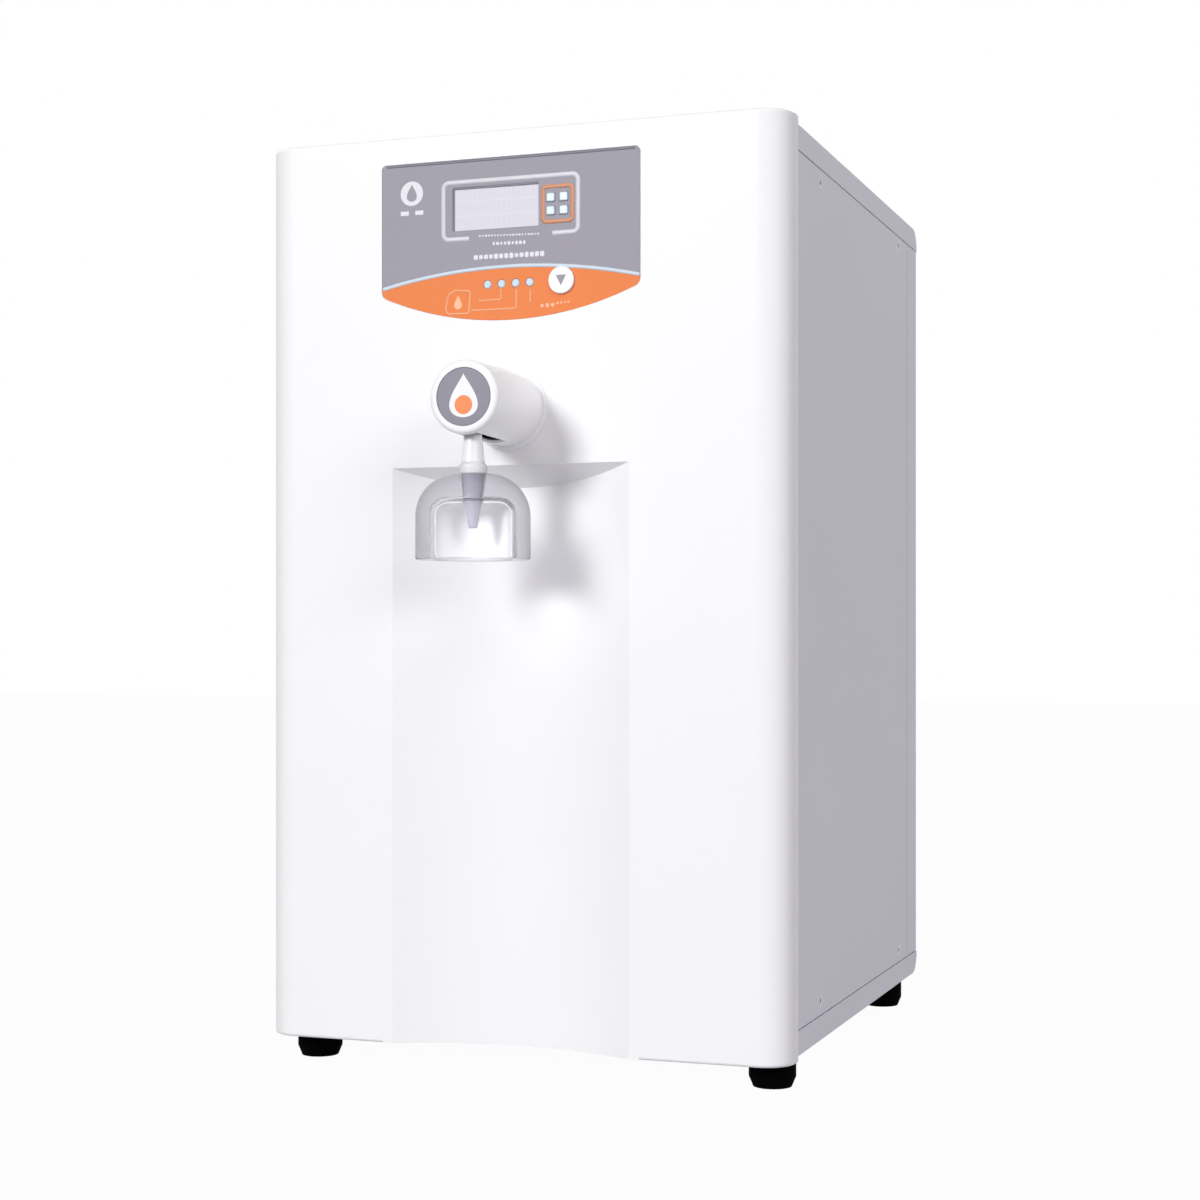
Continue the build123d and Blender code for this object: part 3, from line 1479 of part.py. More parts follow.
power_board_z = floor_z + power_board_rise
board_mid = (supply_y + supply_length / 2, power_board_z + power_board_height / 2)
with BuildPart() as power_board:
    with BuildSketch(facing_right(plate_x - board_stand)):
        with Locations((supply_y, power_board_z)):
            Rectangle(supply_length, power_board_height, align=(Align.MIN, Align.MIN))
    extrude(amount=-board_thickness)
    with BuildSketch(facing_right(plate_x)):
        with Locations(board_mid):
            with GridLocations(supply_length - 2 * board_stand_inset,
                               power_board_height - 2 * board_stand_inset, 2, 2):
                Circle(board_stand_radius)
    extrude(amount=-board_stand)
    with BuildSketch(facing_right(plate_x - board_stand - board_thickness)):
        with Locations(board_mid):
            with GridLocations(supply_length / 2, 0, 2, 1):
                Rectangle(supply_length / 4, power_board_height / 2)
    extrude(amount=-board_parts_height)
save(power_board.part, "power_board")

# Solenoid valves: the tap's on the partition, the feed's on the base tray by its port
valve_y = cabinet_front + valve_inset
valve_z = floor_z + valve_rise
feed_x = port_places[0][0]
feed_y = cabinet_rear - feed_valve_inset
valve_places = [(plate_x - valve_block / 2, valve_y, valve_z),
                (feed_x, feed_y, port_z)]
with BuildPart() as solenoid_valves:
    for x, y, z in valve_places:
        with BuildSketch(facing_front(y)):
            with Locations((x, z)):
                Rectangle(valve_block, valve_height)
        extrude(amount=-valve_length)
        with BuildSketch(facing_front(y - valve_nipple)):
            with Locations((x, z)):
                Circle(port_tail_radius)
        extrude(amount=-(valve_length + 2 * valve_nipple))
        with BuildSketch(level(z + valve_height / 2)):
            with Locations((x, y + valve_length / 2)):
                Circle(valve_coil)
        extrude(amount=valve_coil_height)
    with BuildSketch(level(floor_z)):
        with Locations((feed_x, feed_y + valve_length / 2)):
            Rectangle(valve_block - 2 * valve_foot_step, valve_length - 2 * valve_foot_step)
    extrude(amount=port_z - valve_height / 2 - floor_z)
save(solenoid_valves.part, "solenoid_valves")


# Tubes: straight runs joined by arcs
def tube(points, bend):
    with BuildPart() as pipe:
        with BuildLine():
            path = FilletPolyline(*points, radius=bend) if len(points) > 2 else Line(*points)
        with BuildSketch(Plane(origin=path @ 0, z_dir=path % 0)):
            Circle(tube_radius)
        sweep()
    return pipe.part


# The tap's hose goes up behind the fascia and through the threaded stem
tube_front_y = cabinet_front + front_gap
hose_x = plate_x - valve_block / 2
tap_hose = tube(
    [
        (hose_x, valve_y - valve_nipple, valve_z),
        (hose_x, tube_front_y, valve_z),
        (hose_x, tube_front_y, tap_z - 2 * stem_radius),
        (feature_x, tube_front_y, tap_z),
        (feature_x, front_y - head_flange - boss_length, tap_z),
    ],
    hose_bend,
)
save(tap_hose, "tap_hose")

# The feed's tube from its port to the valve, on to the first cartridge, and the loops over the caps
cap_z = rack_z + cartridge_cap + cap_port_height
loop_z = cap_z + tube_rise
first_x, first_y = cartridge_places[0]
with BuildPart() as water_tubes:
    add(tube([(feed_x, cabinet_rear - port_tail, port_z),
              (feed_x, feed_y + valve_length + valve_nipple, port_z)], tube_bend))
    add(tube(
        [
            (feed_x, feed_y - valve_nipple, port_z),
            (feed_x, tube_front_y, port_z),
            (feed_x, tube_front_y, loop_z),
            (first_x - cap_port_x, first_y, loop_z),
            (first_x - cap_port_x, first_y, cap_z),
        ],
        tube_bend,
    ))
    for (x, y), (next_x, next_y) in (cartridge_places[0:2], cartridge_places[2:4]):
        add(tube(
            [
                (x + cap_port_x, y, cap_z),
                (x + cap_port_x, y, loop_z),
                (next_x - cap_port_x, next_y, loop_z),
                (next_x - cap_port_x, next_y, cap_z),
            ],
            tube_bend,
        ))
save(water_tubes.part, "water_tubes")
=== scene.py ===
import math

import bmesh
import bpy
from mathutils import Matrix, Vector


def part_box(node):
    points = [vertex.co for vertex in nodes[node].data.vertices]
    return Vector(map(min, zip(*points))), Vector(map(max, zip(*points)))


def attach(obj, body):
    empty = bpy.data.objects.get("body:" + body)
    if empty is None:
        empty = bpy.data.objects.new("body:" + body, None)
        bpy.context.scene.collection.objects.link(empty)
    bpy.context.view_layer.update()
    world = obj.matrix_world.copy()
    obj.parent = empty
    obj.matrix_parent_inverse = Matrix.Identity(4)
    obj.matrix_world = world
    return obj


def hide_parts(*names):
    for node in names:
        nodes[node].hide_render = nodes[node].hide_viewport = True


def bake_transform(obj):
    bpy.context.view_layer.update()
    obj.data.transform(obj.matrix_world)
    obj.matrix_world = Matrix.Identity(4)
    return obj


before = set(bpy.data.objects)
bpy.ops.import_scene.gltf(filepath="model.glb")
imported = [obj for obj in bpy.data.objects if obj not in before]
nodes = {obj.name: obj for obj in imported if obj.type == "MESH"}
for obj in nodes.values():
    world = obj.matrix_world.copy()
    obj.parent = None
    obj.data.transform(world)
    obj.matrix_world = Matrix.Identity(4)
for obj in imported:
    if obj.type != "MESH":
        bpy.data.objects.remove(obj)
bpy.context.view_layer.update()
mm = 0.001
print("purifier: frame loaded,", len(nodes), "nodes")

scene = bpy.context.scene
collection = scene.collection


def srgb(red, green, blue):
    values = []
    for value in (red, green, blue):
        share = value / 255
        values.append(share / 12.92 if share <= 0.04045 else ((share + 0.055) / 1.055) ** 2.4)
    return (*values, 1.0)


def linkObject(name, data):
    added = bpy.data.objects.new(name, data)
    collection.objects.link(added)
    return added


# Helpers for every node tree; a link is source, output, target, input
def addNode(tree, kind, inputs=None, **options):
    node = tree.nodes.new(kind)
    for option, value in options.items():
        setattr(node, option, value)
    for label, value in (inputs or {}).items():
        node.inputs[label].default_value = value
    return node


def wire(tree, *links):
    for source, output, target, slot in links:
        tree.links.new(source.outputs[output], target.inputs[slot])


def fillSlots(tree, node, values):
    for slot, value in values:
        if isinstance(value, bpy.types.NodeSocket):
            tree.links.new(value, node.inputs[slot])
        else:
            node.inputs[slot].default_value = value


def addMath(tree, operation, first, second):
    node = addNode(tree, "ShaderNodeMath", operation=operation)
    fillSlots(tree, node, enumerate((first, second)))
    return node.outputs[0]


def addSocket(tree, side, label, kind, value=None):
    socket = tree.interface.new_socket(label, in_out=side, socket_type="NodeSocket" + kind)
    if value is not None:
        socket.default_value = value


def startMaterial(name):
    material = bpy.data.materials.new(name)
    material.use_nodes = True
    return material, material.node_tree, material.node_tree.nodes["Principled BSDF"]


# Camera, floor and light

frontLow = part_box("front_fascia")[0]
cameraSettings = {
    "right": 0.47743,     # metres from the middle of the machine
    "ahead": 1.19128,     # metres in front of the moulded front
    "height": 0.26054,
    "turn": 19.59,        # degrees towards the left
    "lens": 64.62,
    "shiftY": 0.035625,   # the horizon lies a little under the middle
}
cameraData = bpy.data.cameras.new("purifierCamera")
cameraData.lens = cameraSettings["lens"]
cameraData.sensor_width = 36
cameraData.shift_y = cameraSettings["shiftY"]
camera = linkObject("purifierCamera", cameraData)
camera.location = (cameraSettings["right"], frontLow.y - cameraSettings["ahead"], cameraSettings["height"])
camera.rotation_euler = (math.radians(90), 0, math.radians(cameraSettings["turn"]))
scene.camera = camera
scene.view_settings.view_transform = "Standard"

lightSettings = {
    "ambient": 0.08,
    "backdrop": 1.0,
    "aim": (0, frontLow.y, 0.32),
    # each lamp: degrees to the right of straight ahead, degrees up, metres away, disk size, watts
    "key": {"side": -20, "rise": 21, "away": 12.0, "size": 3.2, "power": 850},
    "fill": {"side": 50, "rise": 22, "away": 8.0, "size": 3.6, "power": 158, "tint": (0.98, 0.95, 1.0)},
    "side": {"side": 94, "rise": 9, "away": 8.0, "size": 2.4, "power": 34},
    "top": {"side": 24, "rise": 56, "away": 12.0, "size": 5.0, "power": 215},
    "rear": {"side": 176, "rise": 32, "away": 10.0, "size": 4.0, "power": 190},
}


def seenDirectly(tree):
    path = addNode(tree, "ShaderNodeLightPath")
    seen = addMath(tree, "MAXIMUM", path.outputs["Is Camera Ray"], path.outputs["Is Glossy Ray"])
    return addMath(tree, "MAXIMUM", seen, path.outputs["Is Transmission Ray"])


def makeWorld(settings):
    world = bpy.data.worlds.new("studio")
    scene.world = world
    world.use_nodes = True
    tree = world.node_tree
    tree.nodes.clear()
    level = addNode(tree, "ShaderNodeMapRange", {"To Min": settings["ambient"], "To Max": settings["backdrop"]})
    background = addNode(tree, "ShaderNodeBackground", {"Color": (1, 1, 1, 1)})
    output = addNode(tree, "ShaderNodeOutputWorld")
    tree.links.new(seenDirectly(tree), level.inputs["Value"])
    wire(tree, (level, "Result", background, "Strength"), (background, 0, output, 0))


def addAreaLight(name, settings, aim):
    data = bpy.data.lights.new(name, "AREA")
    data.shape = "DISK"
    data.size = settings["size"]
    data.energy = settings["power"]
    data.color = settings.get("tint", (1, 1, 1))
    side = math.radians(settings["side"])
    rise = math.radians(settings["rise"])
    towards = Vector((math.sin(side) * math.cos(rise), -math.cos(side) * math.cos(rise), math.sin(rise)))
    lamp = linkObject(name, data)
    lamp.location = Vector(aim) + towards * settings["away"]
    lamp.rotation_euler = towards.to_track_quat("Z", "Y").to_euler()


makeWorld(lightSettings)
for lampName in ("key", "fill", "side", "top", "rear"):
    addAreaLight(lampName + "Light", lightSettings[lampName], lightSettings["aim"])

# The floor glows white for the eye, and takes a weak share of shade where the part stands
floorSettings = {"half": 8.0, "colour": (0.46, 0.44, 0.50, 1), "rough": 0.9, "glow": 0.97}


def makeFloor(settings):
    mesh = bpy.data.meshes.new("studioFloor")
    half = settings["half"]
    mesh.from_pydata([(-half, -half, 0), (half, -half, 0), (half, half, 0), (-half, half, 0)], [], [(0, 1, 2, 3)])
    floor = linkObject("studioFloor", mesh)
    material, tree, shader = startMaterial("studioFloor")
    shader.inputs["Base Color"].default_value = settings["colour"]
    shader.inputs["Roughness"].default_value = settings["rough"]
    glow = addNode(tree, "ShaderNodeEmission")
    blend = addNode(tree, "ShaderNodeMixShader")
    tree.links.new(addMath(tree, "MULTIPLY", seenDirectly(tree), settings["glow"]), blend.inputs[0])
    # from below the floor is left out, so that the underside can be looked at
    under = addNode(tree, "ShaderNodeNewGeometry")
    clear = addNode(tree, "ShaderNodeBsdfTransparent")
    whole = addNode(tree, "ShaderNodeMixShader")
    wire(tree, (shader, 0, blend, 1), (glow, 0, blend, 2), (under, "Backfacing", whole, 0), (blend, 0, whole, 1),
         (clear, 0, whole, 2), (whole, 0, tree.nodes["Material Output"], "Surface"))
    mesh.materials.append(material)


makeFloor(floorSettings)
print("purifier: camera, light and floor ready")


# Effects shared by the materials

def startGroup(name, inputs, outputs):
    group = bpy.data.node_groups.new(name, "ShaderNodeTree")
    for label, value in inputs.items():
        addSocket(group, "INPUT", label, "Vector" if isinstance(value, tuple) else "Float", value)
    for label in outputs:
        addSocket(group, "OUTPUT", label, "Float")
    return group, addNode(group, "NodeGroupInput"), addNode(group, "NodeGroupOutput")


def makeGrainGroup():
    group, enter, leave = startGroup("mouldGrain", {"Grain Scale": 1500.0, "Mottle Scale": 14.0},
                                     ("Height", "Mottle"))
    place = addNode(group, "ShaderNodeTexCoord")
    fine = addNode(group, "ShaderNodeTexNoise", {"Detail": 2.0})
    broad = addNode(group, "ShaderNodeTexNoise", {"Detail": 3.0})
    wire(group, (place, "Object", fine, "Vector"), (place, "Object", broad, "Vector"),
         (enter, "Grain Scale", fine, "Scale"), (enter, "Mottle Scale", broad, "Scale"),
         (fine, "Fac", leave, "Height"), (broad, "Fac", leave, "Mottle"))
    return group


def makeBrushGroup():
    group, enter, leave = startGroup("brushLines", {"Scale": 900.0, "Stretch": (1.0, 0.02, 1.0)},
                                     ("Height", "Mottle"))
    place = addNode(group, "ShaderNodeTexCoord")
    squeeze = addNode(group, "ShaderNodeVectorMath", operation="MULTIPLY")
    brushed = addNode(group, "ShaderNodeTexNoise", {"Detail": 4.0})
    cloud = addNode(group, "ShaderNodeTexNoise", {"Scale": 30.0})
    wire(group, (place, "Object", squeeze, 0), (enter, "Stretch", squeeze, 1), (squeeze, 0, brushed, "Vector"),
         (enter, "Scale", brushed, "Scale"), (place, "Object", cloud, "Vector"),
         (brushed, "Fac", leave, "Height"), (cloud, "Fac", leave, "Mottle"))
    return group


def makeEdgeGroup():
    group, enter, leave = startGroup("edgeRub", {"Radius": 0.0008, "Amount": 1.0}, ("Mask",))
    geometry = addNode(group, "ShaderNodeNewGeometry")
    soft = addNode(group, "ShaderNodeBevel", samples=4)
    near = addNode(group, "ShaderNodeVectorMath", operation="DOT_PRODUCT")
    place = addNode(group, "ShaderNodeTexCoord")
    breakUp = addNode(group, "ShaderNodeTexNoise", {"Scale": 220.0})
    wire(group, (enter, "Radius", soft, "Radius"), (soft, 0, near, 0), (geometry, "Normal", near, 1),
         (place, "Object", breakUp, "Vector"))
    bend = addMath(group, "SUBTRACT", 1.0, near.outputs["Value"])
    worn = addMath(group, "MULTIPLY", bend, breakUp.outputs["Fac"])
    scaled = addMath(group, "MULTIPLY", worn, enter.outputs["Amount"])
    group.links.new(addMath(group, "MINIMUM", scaled, 1.0), leave.inputs["Mask"])
    return group


def makeDustGroup():
    group, enter, leave = startGroup("settledDust", {"Scale": 60.0, "Amount": 0.2}, ("Mask",))
    geometry = addNode(group, "ShaderNodeNewGeometry")
    split = addNode(group, "ShaderNodeSeparateXYZ")
    place = addNode(group, "ShaderNodeTexCoord")
    cloud = addNode(group, "ShaderNodeTexNoise", {"Detail": 5.0})
    wire(group, (geometry, "Normal", split, 0), (place, "Object", cloud, "Vector"),
         (enter, "Scale", cloud, "Scale"))
    upward = addMath(group, "MAXIMUM", split.outputs["Z"], 0.0)
    patchy = addMath(group, "MULTIPLY", upward, cloud.outputs["Fac"])
    group.links.new(addMath(group, "MULTIPLY", patchy, enter.outputs["Amount"]), leave.inputs["Mask"])
    return group


groups = {"grain": makeGrainGroup(), "brush": makeBrushGroup(), "edge": makeEdgeGroup(), "dust": makeDustGroup()}


def placeGroup(tree, name, **values):
    inputs = {label.replace("_", " "): value for label, value in values.items()}
    return addNode(tree, "ShaderNodeGroup", inputs, node_tree=groups[name])


def mixColour(tree, factor, first, second, blend="MIX"):
    node = addNode(tree, "ShaderNodeMix", data_type="RGBA", blend_type=blend)
    fillSlots(tree, node, ((0, factor), (6, first), (7, second)))
    return node.outputs[2]


def shade(colour, factor):
    return (colour[0] * factor, colour[1] * factor, colour[2] * factor, 1.0)


def mottleRoughness(tree, shader, mottle, rough, low=0.85, high=1.15):
    spread = addNode(tree, "ShaderNodeMapRange", {"To Min": rough * low, "To Max": rough * high})
    tree.links.new(mottle, spread.inputs["Value"])
    wire(tree, (spread, "Result", shader, "Roughness"))


# edge is the colour factor of worn edges
def surfaceLook(colour, rough, grain, height, mottle, edge, dust=0.0, **more):
    return {"colour": colour, "rough": rough, "grain": grain, "height": height, "mottle": mottle, "edge": edge,
            "dust": dust, **more}


def ink(colour, mottle=0.02):
    return surfaceLook(colour, 0.42, 3000, 0.002, mottle, 0.96)


finishes = {
    # colour, roughness, grain per metre, grain height in mm, mottle, edge, dust
    "frontMoulding": surfaceLook((250, 250, 250), 0.42, 1500, 0.006, 0.012, 0.98, 0.03, ior=1.38),
    "cabinetPaint": surfaceLook((222, 220, 229), 0.46, 520, 0.022, 0.03, 0.93, 0.08),
    "labelGrey": surfaceLook((160, 158, 168), 0.55, 2600, 0.004, 0.03, 0.90, ior=1.35),
    "labelOrange": surfaceLook((241, 135, 72), 0.55, 2600, 0.004, 0.04, 0.92, ior=1.35),
    # dark grey for the painted shadows at the recess edges of the label and the display window
    "paintedRecessShade": surfaceLook((128, 125, 138), 0.4, 2600, 0.003, 0.03, 0.95),
    "printWhite": ink((247, 247, 250)),
    "printPale": ink((226, 226, 231)),
    "printBlue": ink((214, 229, 240)),
    "printCopper": ink((214, 151, 117), 0.03),
    "printPeach": ink((252, 186, 142)),
    "keyCap": surfaceLook((210, 226, 238), 0.28, 2200, 0.003, 0.015, 0.94),
    "buttonCap": surfaceLook((251, 251, 252), 0.25, 2200, 0.003, 0.012, 0.95),
    "lampLens": surfaceLook((206, 226, 240), 0.16, 1800, 0.002, 0.02, 0.95),
    "tapMoulding": surfaceLook((252, 252, 252), 0.24, 1700, 0.004, 0.01, 0.97, 0.02),
    "leverMoulding": surfaceLook((250, 250, 250), 0.28, 1700, 0.004, 0.012, 0.96),
    # inside is the darker colour laid on the barrel's hollow as painted shade
    "headShell": surfaceLook((252, 252, 252), 0.24, 1700, 0.004, 0.01, 0.97, 0.02, inside=(88, 86, 97)),
    # white for the sheet inside the bell, a painted highlight for its bright patches
    "highlightSheetWhite": surfaceLook((254, 254, 254), 0.35, 1500, 0.003, 0.006, 0.98),
    "nozzleMoulding": surfaceLook((166, 164, 174), 0.4, 1500, 0.005, 0.02, 0.95),
    # dark colour of the cross drives: painted shade of the recesses
    "driveRecessShade": surfaceLook((62, 62, 66), 0.5, 1800, 0.003, 0.06, 1.1),
    "badgeGrey": surfaceLook((132, 129, 143), 0.36, 2400, 0.003, 0.03, 0.92),
    "badgeOrange": surfaceLook((246, 136, 66), 0.36, 2400, 0.003, 0.03, 0.95),
    "darkMoulding": surfaceLook((38, 38, 41), 0.5, 1300, 0.012, 0.12, 1.7, 0.10),
    "portMoulding": surfaceLook((222, 222, 220), 0.42, 1300, 0.01, 0.03, 0.95, 0.06),
    "filterMoulding": surfaceLook((206, 213, 221), 0.4, 900, 0.014, 0.04, 0.95, 0.05),
    "footRubber": surfaceLook((4, 4, 5), 0.95, 1100, 0.03, 0.2, 1.8, 0.02, ior=1.1),
    "circuitBoard": surfaceLook((24, 96, 58), 0.4, 420, 0.01, 0.2, 1.1, 0.03),
    "tubePlastic": surfaceLook((224, 232, 238), 0.3, 800, 0.004, 0.03, 0.98, 0.02),
    "screwSteel": surfaceLook((172, 172, 177), 0.3, 900, 0.006, 0.1, 1.2, brush=(1.0, 1.0, 0.15)),
    "zincSteel": surfaceLook((165, 168, 172), 0.42, 700, 0.008, 0.16, 1.15, 0.04, brush=(1.0, 0.04, 1.0)),
    "polishedSteel": surfaceLook((196, 198, 200), 0.2, 900, 0.003, 0.08, 1.1, 0.03, brush=(1.0, 1.0, 0.02)),
}
sharedLook = {"dust": (196, 192, 184), "rub": 2.0, "bump": 0.6, "ior": 1.46}
materials = {}

# The barrel of the tap is white; its hollow is darkened with a painted shade where little light gets in
headLow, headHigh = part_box("tap_head")
headHollow = {"x": (headLow.x + headHigh.x) / 2, "z": (headLow.z + headHigh.z) / 2, "radius": 20.6 * mm,
              "from": headLow.y + 2.7 * mm}


def insideShadeMask(tree, hollow):
    place = addNode(tree, "ShaderNodeTexCoord")
    split = addNode(tree, "ShaderNodeSeparateXYZ")
    wire(tree, (place, "Object", split, 0))
    across = addMath(tree, "SUBTRACT", split.outputs["X"], hollow["x"])
    above = addMath(tree, "SUBTRACT", split.outputs["Z"], hollow["z"])
    square = addMath(tree, "ADD", addMath(tree, "MULTIPLY", across, across),
                     addMath(tree, "MULTIPLY", above, above))
    near = addMath(tree, "LESS_THAN", square, hollow["radius"] ** 2)
    behind = addMath(tree, "GREATER_THAN", split.outputs["Y"], hollow["from"])
    return addMath(tree, "MULTIPLY", near, behind)


def makeFinish(name, look):
    materials[name], tree, shader = startMaterial(name)
    colour = srgb(*look["colour"])
    if "brush" in look:
        surface = placeGroup(tree, "brush", Scale=look["grain"], Stretch=look["brush"])
    else:
        surface = placeGroup(tree, "grain", Grain_Scale=look["grain"])
    mottle = surface.outputs["Mottle"]
    tone = mixColour(tree, mottle, shade(colour, 1 - look["mottle"]), shade(colour, 1 + look["mottle"]))
    rub = placeGroup(tree, "edge", Amount=sharedLook["rub"])
    tone = mixColour(tree, rub.outputs["Mask"], tone, shade(colour, look["edge"]))
    if look["dust"]:
        dust = placeGroup(tree, "dust", Amount=look["dust"])
        tone = mixColour(tree, dust.outputs["Mask"], tone, srgb(*sharedLook["dust"]))
    # painted shade: the barrel's hollow gets the darker inside colour
    if "inside" in look:
        tone = mixColour(tree, insideShadeMask(tree, headHollow), tone, srgb(*look["inside"]))
    tree.links.new(tone, shader.inputs["Base Color"])
    mottleRoughness(tree, shader, mottle, look["rough"])
    bump = addNode(tree, "ShaderNodeBump", {"Strength": sharedLook["bump"], "Distance": look["height"] * mm})
    wire(tree, (surface, "Height", bump, "Height"), (bump, "Normal", shader, "Normal"))
    shader.inputs["Metallic"].default_value = 1.0 if "brush" in look else 0.0
    shader.inputs["IOR"].default_value = look.get("ior", sharedLook["ior"])


for finishName, finishLook in finishes.items():
    makeFinish(finishName, finishLook)


# Clear bell: thick cast acrylic; its colour darkens where the view runs along the wall, a painted shade for the dark
# edges that refraction shows
clearSettings = {
    "clearAcrylic": {"colour": (252, 252, 254), "rim": (76, 73, 85), "rough": 0.03, "ior": 1.12,
                     "weight": 1.0, "body": (196, 194, 204), "density": 11.5, "shade": 0.12},
    "collarPlastic": {"colour": (254, 254, 254), "rim": (196, 194, 204), "rough": 0.10, "ior": 1.45,
                      "weight": 0.15},
}
clearShared = {"grain": 90.0, "mottle": 30.0, "tone": 0.98, "facing": 0.35, "power": 1.1}


def makeClearPlastic(name, settings):
    materials[name], tree, shader = startMaterial(name)
    grain = placeGroup(tree, "grain", Grain_Scale=clearShared["grain"], Mottle_Scale=clearShared["mottle"])
    mottle = grain.outputs["Mottle"]
    colour = srgb(*settings["colour"])
    tint = mixColour(tree, mottle, shade(colour, clearShared["tone"]), shade(colour, 1.0))
    # towards grazing views the colour turns to the darker rim colour: painted shade at the edges
    facing = addNode(tree, "ShaderNodeLayerWeight", {"Blend": clearShared["facing"]})
    along = addMath(tree, "POWER", facing.outputs["Facing"], clearShared["power"])
    tree.links.new(mixColour(tree, along, tint, srgb(*settings["rim"])), shader.inputs["Base Color"])
    mottleRoughness(tree, shader, mottle, settings["rough"], 0.6, 1.6)
    shader.inputs["IOR"].default_value = settings["ior"]
    shader.inputs["Transmission Weight"].default_value = settings["weight"]
    if "shade" in settings:
        # lamps shine through the clear wall instead of meeting a solid shadow
        path = addNode(tree, "ShaderNodeLightPath")
        kept = addMath(tree, "MULTIPLY", path.outputs["Is Shadow Ray"], 1.0 - settings["shade"])
        tree.links.new(addMath(tree, "SUBTRACT", 1.0, kept), shader.inputs["Alpha"])
    if "body" in settings:
        depth = addNode(tree, "ShaderNodeVolumeAbsorption",
                        {"Color": srgb(*settings["body"]), "Density": settings["density"]})
        wire(tree, (depth, 0, tree.nodes["Material Output"], "Volume"))


for clearName, clearLook in clearSettings.items():
    makeClearPlastic(clearName, clearLook)


# Display: a pale backlight under faint character cells; a gap is the empty share of a dot or cell
displaySettings = {"colour": (225, 224, 232), "cell": (208, 208, 217), "cellWidth": 3.1, "cellHeight": 8.6,
                   "cellGap": 0.16, "dot": 0.52, "dotGap": 0.18, "faint": 0.35, "tone": 0.96, "rough": 0.42,
                   "ior": 1.33}


def makeDisplay(settings):
    materials["displayFace"], tree, shader = startMaterial("displayFace")
    place = addNode(tree, "ShaderNodeTexCoord")
    split = addNode(tree, "ShaderNodeSeparateXYZ")
    wire(tree, (place, "Object", split, 0))
    masks = []
    for axis, pitch, space in (("X", settings["dot"], settings["dotGap"]), ("Z", settings["dot"], settings["dotGap"]),
                               ("X", settings["cellWidth"], settings["cellGap"]),
                               ("Z", settings["cellHeight"], settings["cellGap"])):
        cells = addMath(tree, "DIVIDE", split.outputs[axis], pitch * mm)
        masks.append(addMath(tree, "GREATER_THAN", addMath(tree, "FRACT", cells, 0.0), space))
    dots = masks[0]
    for mask in masks[1:]:
        dots = addMath(tree, "MULTIPLY", dots, mask)
    faint = addMath(tree, "MULTIPLY", dots, settings["faint"])
    pale = mixColour(tree, faint, srgb(*settings["colour"]), srgb(*settings["cell"]))
    grain = placeGroup(tree, "grain", Grain_Scale=1200.0)
    white = (1, 1, 1)
    tone = mixColour(tree, grain.outputs["Mottle"], shade(white, settings["tone"]), shade(white, 1.0))
    tree.links.new(mixColour(tree, 1.0, pale, tone, "MULTIPLY"), shader.inputs["Base Color"])
    mottleRoughness(tree, shader, grain.outputs["Mottle"], settings["rough"])
    shader.inputs["IOR"].default_value = settings["ior"]


makeDisplay(displaySettings)
print("purifier:", len(materials), "materials ready")

nodeFinishes = {
    "frontMoulding": ["front_fascia"],
    "labelGrey": ["display_overlay"],
    "labelOrange": ["indicator_overlay"],
    "displayFace": ["display_window"],
    "keyCap": ["key_upper_left", "key_upper_right", "key_lower_left", "key_lower_right"],
    "buttonCap": ["dispense_button"],
    "lampLens": ["indicator_lamps"],
    "tapMoulding": ["tap_base"],
    "headShell": ["tap_head"],
    "leverMoulding": ["tap_lever", "tap_lock_nut"],
    "badgeGrey": ["tap_badge"],
    "clearAcrylic": ["dispensing_bell"],
    "collarPlastic": ["bell_collar"],
    "nozzleMoulding": ["outlet_nozzle"],
    "darkMoulding": ["display_module", "board_switches", "lever_switch", "switch_plunger", "rocker_frame",
                     "power_inlet", "fuse_holder", "power_rocker", "booster_pump"],
    "cabinetPaint": ["top_cover", "base_tray", "right_side_panel", "left_side_panel", "rear_cover"],
    "portMoulding": ["feed_port", "tank_port", "drain_port", "port_nuts", "membrane_housing", "housing_clips",
                     "solenoid_valves"],
    "filterMoulding": ["sediment_cartridge", "carbon_cartridge", "deioniser_first", "deioniser_second"],
    "footRubber": ["feet"],
    "circuitBoard": ["control_board", "power_board"],
    "tubePlastic": ["tap_hose", "water_tubes"],
    "screwSteel": ["lever_pivot_pin", "return_spring", "side_panel_screws", "pan_screws", "foot_screws",
                   "inlet_pins"],
    "zincSteel": ["chassis", "equipment_plate", "cartridge_rack", "power_supply"],
    "polishedSteel": ["ultraviolet_housing"],
}
for finishName, members in nodeFinishes.items():
    for member in members:
        mesh = nodes[member].data
        mesh.materials.clear()
        mesh.materials.append(materials[finishName])
print("purifier: CAD nodes finished")


# Places on the front, from the CAD nodes
windowLow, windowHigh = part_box("display_window")
overlayLow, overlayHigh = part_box("display_overlay")
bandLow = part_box("indicator_overlay")[0]
labelFace = overlayLow.y
labelX = (overlayLow.x + overlayHigh.x) / 2 / mm


# Pieces grown by Geometry Nodes from a drawn path or from points
def startTree(name, **inputs):
    tree = bpy.data.node_groups.new(name, "GeometryNodeTree")
    tree.is_modifier = True
    addSocket(tree, "INPUT", "Geometry", "Geometry")
    for label, value in inputs.items():
        kind = {float: "Float", int: "Int", bool: "Bool"}[type(value)]
        addSocket(tree, "INPUT", label.replace("_", " "), kind, value)
    addSocket(tree, "INPUT", "Finish", "Material")
    addSocket(tree, "OUTPUT", "Geometry", "Geometry")
    return tree, addNode(tree, "NodeGroupInput")


def endTree(tree, enter, shape):
    realised = addNode(tree, "GeometryNodeRealizeInstances")
    finished = addNode(tree, "GeometryNodeSetMaterial")
    leave = addNode(tree, "NodeGroupOutput")
    wire(tree, (shape, 0, realised, 0), (realised, 0, finished, "Geometry"),
         (enter, "Finish", finished, "Material"), (finished, 0, leave, 0))
    return tree


